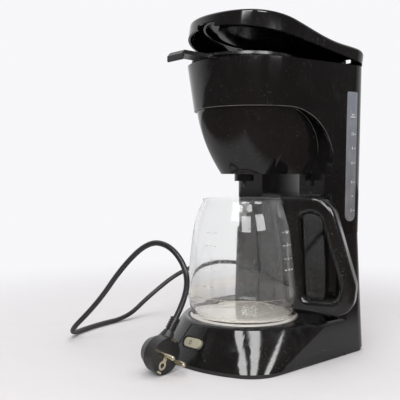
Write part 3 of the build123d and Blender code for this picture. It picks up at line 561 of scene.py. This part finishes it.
@dataclass(frozen=True)
class GlassFinish:
    """Clear jug glass with faint smears, dull spots and an old coffee tide near the floor."""

    name: str = "jug_clear_glass"
    clear: Colour = (0.985, 0.99, 0.985)
    tide: Colour = (0.975, 0.945, 0.87)
    shadow: Colour = (0.93, 0.93, 0.92)
    tide_rise: Span = (0.060, 0.080)
    tide_fall: Span = (0.074, 0.084)
    tide_roughness: float = 0.03
    wave_scale: float = 30.0
    wave_height: float = 0.012
    smear_scale: float = 20.0
    smear_roughness: Span = (0.0, 0.06)
    spot_scale: float = 420.0
    spot_cloud: Span = (0.56, 0.68)
    spot_roughness: Span = (0.0, 0.22)
    ripple_scale: float = 18.0
    ripple_depth: float = 0.05
    ripple_height: float = 0.002
    ior: float = 1.47

    def material(self) -> Material:
        """Build the material of this finish."""
        material, net, shader, place = new_material(self.name)
        waves = net.times(net.noise(place, self.wave_scale, detail=3.0), self.wave_height)
        level = net.math("ADD", net.axis(place, "Z"), waves)
        fall = net.ramp(level, self.tide_fall, FALLING)
        tide = net.times(net.ramp(level, self.tide_rise), fall)
        smear = net.effect(Effects.finger_smears(), place, self.smear_scale).outputs["Mask"]
        clouds = net.noise(place, self.spot_scale, detail=3.0)
        spots = net.ramp(clouds, self.spot_cloud, self.spot_roughness)
        rough = net.ramp(smear, WHOLE, self.smear_roughness)
        rough = net.math("ADD", rough, net.times(tide, self.tide_roughness))
        ripple = net.noise(place, self.ripple_scale, detail=2.0)
        values = {
            "Base Color": net.blend(tide, self.clear, self.tide),
            "Roughness": net.math("ADD", rough, spots, clamp=True),
            "Normal": net.bump(ripple, self.ripple_depth, self.ripple_height),
            "Transmission Weight": 1.0,
            "IOR": self.ior,
        }
        net.feed(shader, values)
        path = net.add("ShaderNodeLightPath").outputs
        light = net.add("ShaderNodeBsdfTransparent", {"Color": (*self.shadow, 1.0)})
        net.show_mix(path["Is Shadow Ray"], shader, light)
        return material


@dataclass(frozen=True)
class StripFinish:
    """Milky strip of the level window with water stains, cooler at the top."""

    name: str = "level_strip_milky"
    low_colour: Colour = (0.165, 0.163, 0.17)
    high_colour: Colour = (0.21, 0.225, 0.255)
    stain: Colour = (0.46, 0.46, 0.46)
    heights: Span = (0.151, 0.298)
    stain_stretch: Point = (1.0, 1.0, 0.3)
    stain_scale: float = 160.0
    stain_cloud: Span = (0.35, 0.75)
    stained: float = 0.22
    smear_scale: float = 30.0
    roughness: Span = (0.24, 0.46)

    def material(self) -> Material:
        """Build the material of this finish."""
        material, net, shader, place = new_material(self.name)
        height = net.ramp(net.axis(place, "Z"), self.heights)
        colour = net.blend(height, self.low_colour, self.high_colour)
        drips = net.stretch(place, self.stain_stretch)
        stains = net.ramp(net.noise(drips, self.stain_scale, detail=5.0), self.stain_cloud)
        colour = net.blend(net.times(stains, self.stained), colour, self.stain)
        smear = net.effect(Effects.finger_smears(), place, self.smear_scale).outputs["Mask"]
        rough = net.ramp(smear, WHOLE, self.roughness)
        net.feed(shader, {"Base Color": colour, "Roughness": rough})
        return material


@dataclass(frozen=True)
class PrintFinish:
    """Printed ink, worn thin in places."""

    name: str
    colour: Colour
    worn: Colour
    wear_scale: float = 420.0
    wear_cloud: Span = (0.45, 0.75)
    roughness: Span = (0.4, 0.7)

    def material(self) -> Material:
        """Build the material of this finish."""
        material, net, shader, place = new_material(self.name)
        wear = net.ramp(net.noise(place, self.wear_scale, detail=4.0), self.wear_cloud)
        colour = net.blend(wear, self.colour, self.worn)
        rough = net.ramp(wear, WHOLE, self.roughness)
        net.feed(shader, {"Base Color": colour, "Roughness": rough})
        return material


Finish = Union[PlasticFinish, MetalFinish, GlassFinish, StripFinish, PrintFinish]

GLOSS_BLACK = PlasticFinish(
    "gloss_black_shell", (0.0055, 0.0053, 0.0053), (0.0075, 0.007, 0.0068),
    roughness=0.085, smeared=0.22, dust=0.05, specks=0.3,
    # edge: painted highlight along the band's lower edge and the arch
    scratched=0.03, grain_depth=0.012, edge=ArchEdgeHighlight(),
)
BASKET_BLACK = PlasticFinish(
    "basket_satin_black", (0.009, 0.009, 0.0092), (0.013, 0.0125, 0.012),
    roughness=0.26, smeared=0.4, grain_depth=0.05,
)
HANDLE_BLACK = PlasticFinish(
    "handle_satin_black", (0.007, 0.0068, 0.0068), (0.01, 0.0095, 0.009),
    roughness=0.14, smeared=0.26,
)
INNER_BLACK = PlasticFinish(
    "inner_dull_black", (0.014, 0.014, 0.014), (0.02, 0.019, 0.018),
    roughness=0.42, smeared=0.58, grain_depth=0.08,
)
PLUG_BLACK = PlasticFinish(
    "plug_soft_black", (0.012, 0.0112, 0.0112), (0.02, 0.019, 0.0185),
    roughness=0.34, smeared=0.5, dust=0.15, grain_depth=0.1,
)
LEAD_BLACK = PlasticFinish(
    "lead_black_sheath", (0.012, 0.012, 0.0125), (0.02, 0.0195, 0.02),
    roughness=0.36, smeared=0.5, dust=0.2, grain_depth=0.06,
)
ROCKER_CREAM = PlasticFinish(
    "rocker_cream", (0.45, 0.425, 0.31), (0.39, 0.365, 0.265),
    roughness=0.34, smeared=0.5, dust_colour=(0.3, 0.27, 0.22), specks=0.0, scratched=0.1,
)
RUBBER_BLACK = PlasticFinish(
    "rubber_black", (0.02, 0.02, 0.02), (0.032, 0.031, 0.03),
    roughness=0.6, smeared=0.75, grain_depth=0.12,
)
HOSE_MILKY = PlasticFinish(
    "hose_milky", (0.62, 0.6, 0.56), (0.55, 0.5, 0.42),
    roughness=0.4, smeared=0.55, dust_colour=(0.5, 0.45, 0.36), specks=0.0,
)
FUSE_CREAM = PlasticFinish(
    "fuse_ceramic", (0.66, 0.63, 0.54), (0.58, 0.54, 0.44),
    roughness=0.55, smeared=0.7, specks=0.0,
)
PLATE_STEEL = MetalFinish(
    "plate_bare_steel", (0.66, 0.615, 0.58), (0.5, 0.42, 0.34),
    roughness=0.34, lines=(1.0, 0.08, 1.0), stained=0.25, metallic=0.35,
)
SCREW_STEEL = MetalFinish(
    "screw_steel", (0.56, 0.56, 0.57), (0.38, 0.33, 0.28),
    roughness=0.32, lines=(1.0, 1.0, 0.2),
)
PIN_BRASS = MetalFinish(
    "pin_plated_brass", (0.72, 0.66, 0.5), (0.42, 0.33, 0.19),
    roughness=0.24, lines=(0.3, 1.0, 1.0),
)
TUBE_ALUMINIUM = MetalFinish(
    "tube_aluminium", (0.78, 0.78, 0.79), (0.55, 0.53, 0.5),
    roughness=0.36, lines=(0.2, 1.0, 1.0),
)
MARK_WHITE = PrintFinish("mark_white_ink", (0.82, 0.82, 0.81), (0.62, 0.62, 0.61))
MARK_GREY = PrintFinish("mark_grey_ink", (0.03, 0.03, 0.028), (0.06, 0.058, 0.05))


class Dresser:
    """Gives finishes to pieces and keeps each material once."""

    def __init__(self, nodes: Dict[str, Object]) -> None:
        """Keep the frame's pieces by name."""
        self.nodes = nodes
        self._made: Dict[str, Material] = {}

    def paint(self, piece: Object, finish: Finish) -> None:
        """Put the one material of a finish on a piece.

        Args:
            piece: Object to paint.
            finish: Finish to put on.
        """
        if finish.name not in self._made:
            self._made[finish.name] = finish.material()
        piece.data.materials.clear()
        piece.data.materials.append(self._made[finish.name])

    def dress(self, finish: Finish, *names: str) -> None:
        """Put a finish on pieces of the frame.

        Args:
            finish: Finish to put on.
            names: Names of the pieces.
        """
        for name in names:
            self.paint(self.nodes[name], finish)
            LOG.info("dressed %s with %s", name, finish.name)

    def keep(self, piece: Object, finish: Finish, body: Body) -> Object:
        """Finish a new piece and tie it to its body.

        Args:
            piece: New object, in place.
            finish: Finish to put on.
            body: Body that carries it.

        Returns:
            The same object.
        """
        self.paint(piece, finish)
        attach(piece, body.value)
        LOG.info("made %s on %s", piece.name, body.value)
        return piece


def add_object(name: str, data: bpy.types.ID) -> Object:
    """Put new data into the scene as an object at the origin.

    Args:
        name: Name of the object.
        data: Mesh, curve, light or camera.

    Returns:
        The new object.
    """
    piece = bpy.data.objects.new(name, data)
    bpy.context.scene.collection.objects.link(piece)
    return piece


def mesh_piece(name: str, shape: Shape) -> Object:
    """Make an object of a finished shape.

    Args:
        name: Name of the object.
        shape: Shape, which is freed.

    Returns:
        The new object.
    """
    bmesh.ops.recalc_face_normals(shape, faces=shape.faces)
    mesh = bpy.data.meshes.new(name)
    shape.to_mesh(mesh)
    shape.free()
    return add_object(name, mesh)


def join_sign(whole: Shape, sign: Shape) -> None:
    """Add a sign to a larger shape.

    Args:
        whole: Shape that gets the sign.
        sign: Sign, which is freed.
    """
    mesh = bpy.data.meshes.new("mark")
    sign.to_mesh(mesh)
    sign.free()
    whole.from_mesh(mesh)
    bpy.data.meshes.remove(mesh)


def flat_ring(inner: Span, outer: Span, thickness: float, segments: int) -> Shape:
    """Make a flat round or oval ring about the origin, in the XY plane.

    Args:
        inner: Half widths of the hole along X and Y.
        outer: Half widths of the ring along X and Y.
        thickness: Thickness of the ring.
        segments: Number of straight pieces round the ring.

    Returns:
        The ring's shape.
    """
    shape = bmesh.new()
    hole = bmesh.ops.create_circle(shape, segments=segments, radius=1.0)["verts"]
    bmesh.ops.scale(shape, vec=(*inner, 1.0), verts=hole)
    rim = bmesh.ops.extrude_edge_only(shape, edges=list(shape.edges))["geom"]
    grown = [item for item in rim if isinstance(item, bmesh.types.BMVert)]
    growth = (outer[0] / inner[0], outer[1] / inner[1], 1.0)
    bmesh.ops.scale(shape, vec=growth, verts=grown)
    bmesh.ops.solidify(shape, geom=list(shape.faces), thickness=thickness)
    return shape


@dataclass(frozen=True)
class Printer:
    """Turns short signs into thin flat meshes."""

    size: float = 0.0052
    ink: float = 0.00012
    letter_steps: int = 3
    bar_cuts: int = 3
    weld: float = 1e-6

    def sign(self, words: str) -> Shape:
        """Set a number in the plain built-in face, centred on the origin.

        Args:
            words: The number.

        Returns:
            A thin mesh in the XY plane with its front to +Z.
        """
        curve = bpy.data.curves.new("sign", "FONT")
        curve.body = words
        curve.size = self.size
        curve.align_x = "CENTER"
        curve.align_y = "CENTER"
        curve.extrude = self.ink / 2
        curve.resolution_u = self.letter_steps
        holder = add_object("sign", curve)
        drawn = holder.evaluated_get(bpy.context.evaluated_depsgraph_get())
        mesh = bpy.data.meshes.new_from_object(drawn)
        bpy.data.objects.remove(holder)
        bpy.data.curves.remove(curve)
        shape = bmesh.new()
        shape.from_mesh(mesh)
        bpy.data.meshes.remove(mesh)
        bmesh.ops.remove_doubles(shape, verts=shape.verts, dist=self.weld)
        return shape

    def bar(self, shape: Shape, centre: Span, size: Span) -> None:
        """Add a thin bar to a sign, with cuts that let it bend.

        Args:
            shape: Mesh that gets the bar.
            centre: Middle of the bar.
            size: Its width and height.
        """
        place = Matrix.LocRotScale((*centre, 0.0), None, (*size, self.ink))
        made = bmesh.ops.create_cube(shape, size=1.0, matrix=place)
        edges = dict.fromkeys(edge for vert in made["verts"] for edge in vert.link_edges)
        half = size[0] / 2
        across = [edge for edge in edges if abs(edge.verts[0].co.x - edge.verts[1].co.x) > half]
        bmesh.ops.subdivide_edges(shape, edges=across, cuts=self.bar_cuts)


@dataclass(frozen=True)
class Group:
    """Pieces of the frame that only get finishes."""

    looks: Tuple[Tuple[Finish, Tuple[str, ...]], ...]

    def dress(self, dresser: Dresser) -> None:
        """Put each finish on its pieces."""
        for finish, names in self.looks:
            dresser.dress(finish, *names)


SHELL = Group((
    (GLOSS_BLACK, ("base_housing", "upper_body", "brew_bowl", "lid")),
    (GLOSS_BLACK, ("spreader_plate", "switch_body")),
    (BASKET_BLACK, ("filter_basket",)),
    (INNER_BLACK, ("bottom_cover", "drip_bridge", "drip_plunger", "riser_tube")),
    (INNER_BLACK, ("spout", "check_valve", "valve_ball")),
    (RUBBER_BLACK, ("rubber_feet", "plate_gasket", "drip_seal")),
    (SCREW_STEEL, ("bottom_screws", "hinge_pins")),
))
HEATER = Group((
    (PLATE_STEEL, ("hot_plate",)),
    (SCREW_STEEL, ("heater_clamp", "clamp_nut", "thermostat", "heating_rod")),
    (TUBE_ALUMINIUM, ("heat_spreader", "heater_tube")),
    (HOSE_MILKY, ("inlet_hose", "outlet_hose")),
    (FUSE_CREAM, ("thermal_fuse",)),
))


@dataclass
class LevelWindow:
    """Milky strip in the right wall with its printed scale."""

    centre_y: float = 0.076
    proud: float = 0.0001
    marks: Tuple[Tuple[float, str], ...] = (
        (0.2695, TOP_MARK), (0.2503, "10"), (0.2341, "8"), (0.2177, "6"), (0.1957, "4"),
        (0.1799, DOT_MARK), (0.1633, "2"),
    )
    top_bars: Tuple[Bar, ...] = (
        ((0.0, 0.0), (0.0085, 0.0011)),
        ((0.0, 0.0026), (0.0045, 0.0009)),
    )
    dot_bar: Bar = ((0.0018, 0.0), (0.0016, 0.0012))
    number_bar: Bar = ((0.0047, 0.0), (0.0022, 0.0009))
    wall_halves: Span = (0.084, 0.087)
    wall_heights: Span = (0.137, 0.328)

    def draw(self, words: str) -> Shape:
        """Draw one mark of the scale, flat about the origin.

        Args:
            words: The number, or the name of a mark without one.

        Returns:
            The mark's shape.
        """
        printer = Printer()
        plain = {TOP_MARK: self.top_bars, DOT_MARK: (self.dot_bar,)}
        sign = bmesh.new() if words in plain else printer.sign(words)
        for centre, size in plain.get(words, (self.number_bar,)):
            printer.bar(sign, centre, size)
        return sign

    def build(self, dresser: Dresser) -> None:
        """Dress the strip and print its scale on the leaning wall."""
        dresser.dress(StripFinish(), "level_window")
        whole = bmesh.new()
        low, high = self.wall_heights
        slope = (self.wall_halves[1] - self.wall_halves[0]) / (high - low)
        lean = Matrix.Rotation(math.atan(slope), 4, "Y")
        turn = Matrix(((0, 0, 1), (1, 0, 0), (0, 1, 0))).to_4x4()
        for height, words in self.marks:
            sign = self.draw(words)
            wall = self.wall_halves[0] + slope * (height - low)
            place = Matrix.Translation((wall + self.proud, self.centre_y, height))
            bmesh.ops.transform(sign, matrix=place @ lean @ turn, verts=sign.verts)
            join_sign(whole, sign)
        dresser.keep(mesh_piece("window_scale", whole), MARK_WHITE, Body.MACHINE)


@dataclass
class Jug:
    """Glass jug with its handle and two printed scales."""

    axis_y: float = -0.012
    least_radius: float = 0.04
    level_digits: int = 4
    profile: Tuple[Span, ...] = ()
    marks: Tuple[Tuple[float, str], ...] = (
        (0.1413, "10"), (0.127, "8"), (0.1126, "6"), (0.1004, "4"),
    )
    low_mark: Tuple[float, str] = (0.083, "2")
    near_scale: float = 8.3
    far_scale: float = -82.0
    bar_place: float = 0.0056
    bar_size: Span = (0.0034, 0.0009)
    proud: float = 0.00025

    def measure(self, glass: Object) -> None:
        """Read the outer radius of the glass at each height of its mesh.

        Args:
            glass: The jug's glass, in place.
        """
        widest: Dict[float, float] = {}
        for vert in glass.data.vertices:
            place = glass.matrix_world @ vert.co
            level = round(place.z, self.level_digits)
            reach = math.hypot(place.x, place.y - self.axis_y)
            widest[level] = max(widest.get(level, 0.0), reach)
        rings = sorted(widest.items())
        self.profile = tuple(ring for ring in rings if ring[1] > self.least_radius)

    def radius(self, height: float) -> float:
        """Give the glass's outer radius at one height, between the profile's points."""
        for (low, inner), (high, outer) in zip(self.profile, self.profile[1:]):
            if height <= high:
                return inner + (outer - inner) * (height - low) / (high - low)
        return self.profile[-1][1]

    def wrap(self, sign: Shape, height: float, azimuth: float) -> None:
        """Lay a flat sign round the glass.

        Args:
            sign: Flat mesh, which is changed.
            height: Height of its middle.
            azimuth: Direction of its middle, in degrees from +X.
        """
        for vert in sign.verts:
            level = height + vert.co.y
            reach = self.radius(level) + self.proud + vert.co.z
            angle = math.radians(azimuth) + vert.co.x / self.radius(height)
            across = self.axis_y + reach * math.sin(angle)
            vert.co = (reach * math.cos(angle), across, level)

    def build(self, dresser: Dresser) -> None:
        """Dress the glass and the handle, and print the scales."""
        dresser.dress(GlassFinish(), "jug_glass")
        self.measure(dresser.nodes["jug_glass"])
        dresser.dress(HANDLE_BLACK, "jug_handle")
        printer = Printer()
        whole = bmesh.new()
        scales = ((self.near_scale, self.marks), (self.far_scale, (*self.marks, self.low_mark)))
        for azimuth, marks in scales:
            for height, words in marks:
                sign = printer.sign(words)
                for side in (-1, 1):
                    printer.bar(sign, (side * self.bar_place, 0.0), self.bar_size)
                self.wrap(sign, height, azimuth)
                join_sign(whole, sign)
        dresser.keep(mesh_piece("jug_scale", whole), MARK_WHITE, Body.JUG)


@dataclass
class Rocker:
    """Cream rocker in the leaning front wall, with its ring sign."""

    centre: Span = (0.005, 0.024)
    front: float = 0.107
    front_rise: float = 25.0 / 43.0
    front_bow: float = 0.0987
    pivot_deep: float = 0.003
    proud: float = 0.0018
    tilt: float = 7.0
    sign_x: float = -0.0022
    sign_size: Span = (0.0012, 0.0019)
    line: float = 0.0006
    ink: float = 0.0002
    segments: int = 40

    def build(self, dresser: Dresser) -> None:
        """Dress the rocker and print its ring."""
        dresser.dress(ROCKER_CREAM, "switch_rocker")
        across, height = self.centre
        back = math.atan(self.front_rise)
        swing = math.asin(across / self.front_bow)
        along = Vector((math.cos(swing), math.sin(swing), 0.0))
        flat = Vector((math.sin(swing), -math.cos(swing), 0.0))
        normal = flat * math.cos(back) + Vector((0.0, 0.0, math.sin(back)))
        bow = self.front_bow * (1.0 - math.cos(swing))
        origin = Vector((across, bow + height * self.front_rise - self.front, height))
        pivot = Matrix.Translation(origin - normal * self.pivot_deep)
        basis = Matrix((along, normal.cross(along), normal)).transposed().to_4x4()
        lean = Matrix.Rotation(math.radians(-self.tilt), 4, "Y")
        lift = Matrix.Translation((self.sign_x, 0.0, self.pivot_deep + self.proud))
        wide, high = self.sign_size
        outer = (wide + self.line, high + self.line)
        shape = flat_ring(self.sign_size, outer, self.ink, self.segments)
        bmesh.ops.transform(shape, matrix=pivot @ basis @ lean @ lift, verts=shape.verts)
        dresser.keep(mesh_piece("rocker_sign", shape), MARK_GREY, Body.ROCKER)


@dataclass
class MainsLead:
    """Mains cord from the rear wall: a low arch, a run on the table and an arch to its plug."""

    radius: float = 0.0031
    length: float = 0.776
    exit: Point = (-0.046, 0.103015, 0.045)
    route: Tuple[Point, ...] = (
        (-0.046, 0.103015, 0.045),
        (-0.046, 0.146, 0.045),
        (-0.088, 0.172, 0.054),
        (-0.140, 0.160, 0.066),
        (-0.176, 0.110, 0.077),
        (-0.200, 0.058, 0.064),
        (-0.215, 0.008, 0.028),
        (-0.213, -0.030, 0.0035),
        (-0.206, -0.084, 0.0035),
        (-0.178, -0.147, 0.004),
        (-0.130, -0.129, 0.050),
        (-0.092, -0.118, 0.098),
        (-0.052, -0.110, 0.130),
        (-0.020, -0.104, 0.128),
        (0.002, -0.099, 0.104),
        (0.002586, -0.099606, 0.075616),
        (0.001803, -0.113961, 0.053952),
    )
    round_steps: int = 6
    order: int = 3
    line_steps: int = 14
    plug_place: Point = (0.0125, -0.135, 0.0195)
    plug_lean: Point = (0.03, 0.55, 0.83)
    plug_aim: Point = (1.0, 0.15, 0.0)
    earth_deep: float = 0.01
    earth_radii: Span = (0.0024, 0.005)
    earth_tab: Span = (0.0036, 0.0054)
    earth_tab_shift: float = 0.00144
    earth_thickness: float = 0.0005
    earth_seat: float = 0.00005
    earth_segments: int = 36

    def earth_contact(self) -> Object:
        """Make the ring and tab of the earth contact, flat on the plug's face.

        Returns:
            The new object.
        """
        inner, outer = self.earth_radii
        halves = ((inner, inner), (outer, outer))
        shape = flat_ring(*halves, self.earth_thickness, self.earth_segments)
        tab = bmesh.ops.create_cube(shape, size=1.0)["verts"]
        bmesh.ops.scale(shape, vec=(*self.earth_tab, self.earth_thickness), verts=tab)
        bmesh.ops.translate(shape, vec=(outer + self.earth_tab_shift, 0.0, 0.0), verts=tab)
        low = min(vert.co.z for vert in shape.verts)
        seat = (-self.earth_deep, 0.0, self.earth_seat - low)
        bmesh.ops.translate(shape, vec=seat, verts=shape.verts)
        along = Vector(self.plug_lean).normalized()
        aim = Vector(self.plug_aim)
        face = (aim - along * along.dot(aim)).normalized()
        basis = Matrix((along, face.cross(along), face)).transposed().to_4x4()
        place = Matrix.Translation(self.plug_place)
        bmesh.ops.transform(shape, matrix=place @ basis, verts=shape.verts)
        return mesh_piece("plug_earth", shape)

    def build(self, dresser: Dresser) -> None:
        """Draw the cord as one smooth line, dress the plug and add its earth contact."""
        curve = bpy.data.curves.new("mains_cord", "CURVE")
        curve.dimensions = "3D"
        curve.bevel_depth = self.radius
        curve.bevel_resolution = self.round_steps
        curve.use_fill_caps = True
        spline = curve.splines.new("NURBS")
        spline.points.add(len(self.route) - 1)
        for point, place in zip(spline.points, self.route):
            point.co = (*place, 1.0)
        spline.order_u = self.order
        spline.use_endpoint_u = True
        spline.resolution_u = self.line_steps
        cord = add_object("mains_cord", curve)
        dresser.keep(cord, LEAD_BLACK, Body.MACHINE)
        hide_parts("power_cord")
        dresser.dress(PLUG_BLACK, "plug_body", "cord_gland")
        dresser.dress(PIN_BRASS, "plug_pins", "plug_contacts")
        earth = dresser.keep(self.earth_contact(), PIN_BRASS, Body.MACHINE)


@dataclass
class Studio:
    """Pale floor and backdrop, soft lamps, panes that show in polished faces, and the camera."""

    pale: Colour = (0.935, 0.93, 0.95)
    fill: Colour = (0.52, 0.52, 0.53)
    room: Colour = (0.1, 0.078, 0.064)
    room_wall: Colour = (0.1, 0.09, 0.085)
    backdrop: Point = (-0.76, 0.65, 0.05)
    backdrop_edge: Span = (-0.35, 0.55)
    floor_colour: Colour = (0.75, 0.728, 0.732)
    floor_radius: float = 6.0
    floor_segments: int = 96
    floor_height: float = -0.0002
    floor_roughness: float = 0.75
    floor_fade: Span = (0.25, 0.8)
    grain_scale: float = 40.0
    grain_cloud: Span = (0.3, 0.7)
    grain_tone: float = 0.985
    mirrored_tone: float = 0.75
    sheet_right: Span = (0.17, 0.27)
    sheet_front: Span = (0.28, 0.46)
    soft_lamps: Tuple[Lamp, ...] = (
        ("key_lamp", (0.9, -1.5, 1.7), (1.4, 1.4), 30.0),
        ("top_lamp", (0.1, 0.3, 2.0), (1.6, 1.6), 16.0),
    )
    panes: Tuple[Lamp, ...] = (
        ("low_left_pane", (0.429, -0.365, 0.39), (0.2, 0.22), 1.7),
        ("low_right_pane", (0.545, -0.07, 0.39), (0.2, 0.22), 1.7),
        ("high_left_pane", (0.325, -0.524, 0.88), (0.2, 0.3), 2.2),
        ("high_right_pane", (0.54, -0.3, 0.88), (0.17, 0.3), 1.9),
    )
    target: Point = (0.0, 0.0, 0.14)
    camera_place: Point = (0.5073, -0.5167, 0.205)
    camera_turn: Point = (87.60, 0.0, 49.206)
    lens: float = 55.8
    sensor: float = 36.0
    near_limit: float = 0.01

    def build_floor(self) -> None:
        """Lay the floor: shadowed near the object, in the backdrop's tone far away.

        In polished faces it is a duller sheet that ends to the right and to the front, with the
        dark room beyond.
        """
        shape = bmesh.new()
        bmesh.ops.create_circle(
            shape, cap_ends=True, segments=self.floor_segments, radius=self.floor_radius
        )
        bmesh.ops.translate(shape, vec=(0.0, 0.0, self.floor_height), verts=shape.verts)
        floor = mesh_piece("floor", shape)
        material, net, shader, place = new_material("pale_floor")
        path = net.add("ShaderNodeLightPath").outputs
        glossy = path["Is Glossy Ray"]
        grain = net.ramp(net.noise(place, self.grain_scale, detail=5.0), self.grain_cloud)
        warm = tuple(self.grain_tone * part for part in self.floor_colour)
        mirrored = tuple(self.mirrored_tone * part for part in self.floor_colour)
        sheet = net.blend(grain, self.floor_colour, warm)
        sheet = net.blend(glossy, sheet, mirrored)
        right = net.ramp(net.axis(place, "X"), self.sheet_right)
        front = net.ramp(net.times(net.axis(place, "Y"), -1.0), self.sheet_front)
        beyond = net.times(glossy, net.math("MAXIMUM", right, front))
        colour = net.blend(beyond, sheet, self.room)
        net.feed(shader, {"Base Color": colour, "Roughness": self.floor_roughness})
        seen = net.math("MAXIMUM", path["Is Camera Ray"], path["Is Transmission Ray"])
        share = net.times(seen, net.ramp(net.length(place), self.floor_fade))
        glow = net.add("ShaderNodeEmission", {"Color": (*self.pale, 1.0), "Strength": 1.0})
        net.show_mix(share, shader, glow)
        floor.data.materials.append(material)

    def build_world(self) -> None:
        """Make the pale backdrop that camera and glass see, the mirrored room and the fill."""
        world = bpy.data.worlds.new("studio")
        bpy.context.scene.world = world
        world.use_nodes = True
        world.node_tree.nodes.clear()
        net = Net(world.node_tree)
        path = net.add("ShaderNodeLightPath").outputs
        look = net.add("ShaderNodeTexCoord").outputs["Generated"]
        values = {0: look, 1: self.backdrop}
        facing = net.add("ShaderNodeVectorMath", values, operation="DOT_PRODUCT")
        toward = net.ramp(facing.outputs["Value"], self.backdrop_edge)
        wall = net.blend(toward, self.room_wall, self.pale)
        colour = net.blend(path["Is Glossy Ray"], self.fill, wall)
        seen = net.math("MAXIMUM", path["Is Camera Ray"], path["Is Transmission Ray"])
        colour = net.blend(seen, colour, self.pale)
        glow = net.add("ShaderNodeBackground", {"Color": colour, "Strength": 1.0})
        net.add("ShaderNodeOutputWorld", {"Surface": glow.outputs[0]})

    def hang(self, lamps: Tuple[Lamp, ...], mirrored: bool) -> None:
        """Hang lamps, each turned to the object.

        Args:
            lamps: Name, place, size and power of each lamp.
            mirrored: True to show them in polished faces only, False to light the rest only.
        """
        for name, place, size, power in lamps:
            lamp = bpy.data.lights.new(name, "AREA")
            lamp.shape = "RECTANGLE"
            lamp.size, lamp.size_y = size
            lamp.energy = power
            holder = add_object(name, lamp)
            holder.location = place
            aim = Vector(self.target) - Vector(place)
            holder.rotation_euler = aim.to_track_quat("-Z", "Y").to_euler()
            holder.visible_glossy = mirrored
            holder.visible_diffuse = not mirrored
            holder.visible_transmission = not mirrored
            holder.visible_camera = False

    def build_camera(self) -> None:
        """Set the camera at the photograph's viewing angle."""
        lens = bpy.data.cameras.new("camera")
        lens.lens = self.lens
        lens.sensor_width = self.sensor
        lens.clip_start = self.near_limit
        holder = add_object("camera", lens)
        holder.location = self.camera_place
        holder.rotation_euler = tuple(math.radians(angle) for angle in self.camera_turn)
        bpy.context.scene.camera = holder

    def build(self) -> None:
        """Set up camera, floor, backdrop and lamps."""
        bpy.context.scene.view_settings.view_transform = "Standard"
        self.build_camera()
        self.build_floor()
        self.build_world()
        self.hang(self.soft_lamps, mirrored=False)
        self.hang(self.panes, mirrored=True)


def main() -> None:
    """Load the frame, dress every piece and set up the studio."""
    logging.basicConfig(level=logging.INFO, format="%(name)s: %(message)s")
    for item in list(bpy.data.objects):
        bpy.data.objects.remove(item)
    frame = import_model()
    dresser = Dresser(frame["nodes"])
    Studio().build()
    MainsLead().build(dresser)
    SHELL.dress(dresser)
    HEATER.dress(dresser)
    LevelWindow().build(dresser)
    Jug().build(dresser)
    Rocker().build(dresser)


if __name__ == "__main__":
    main()
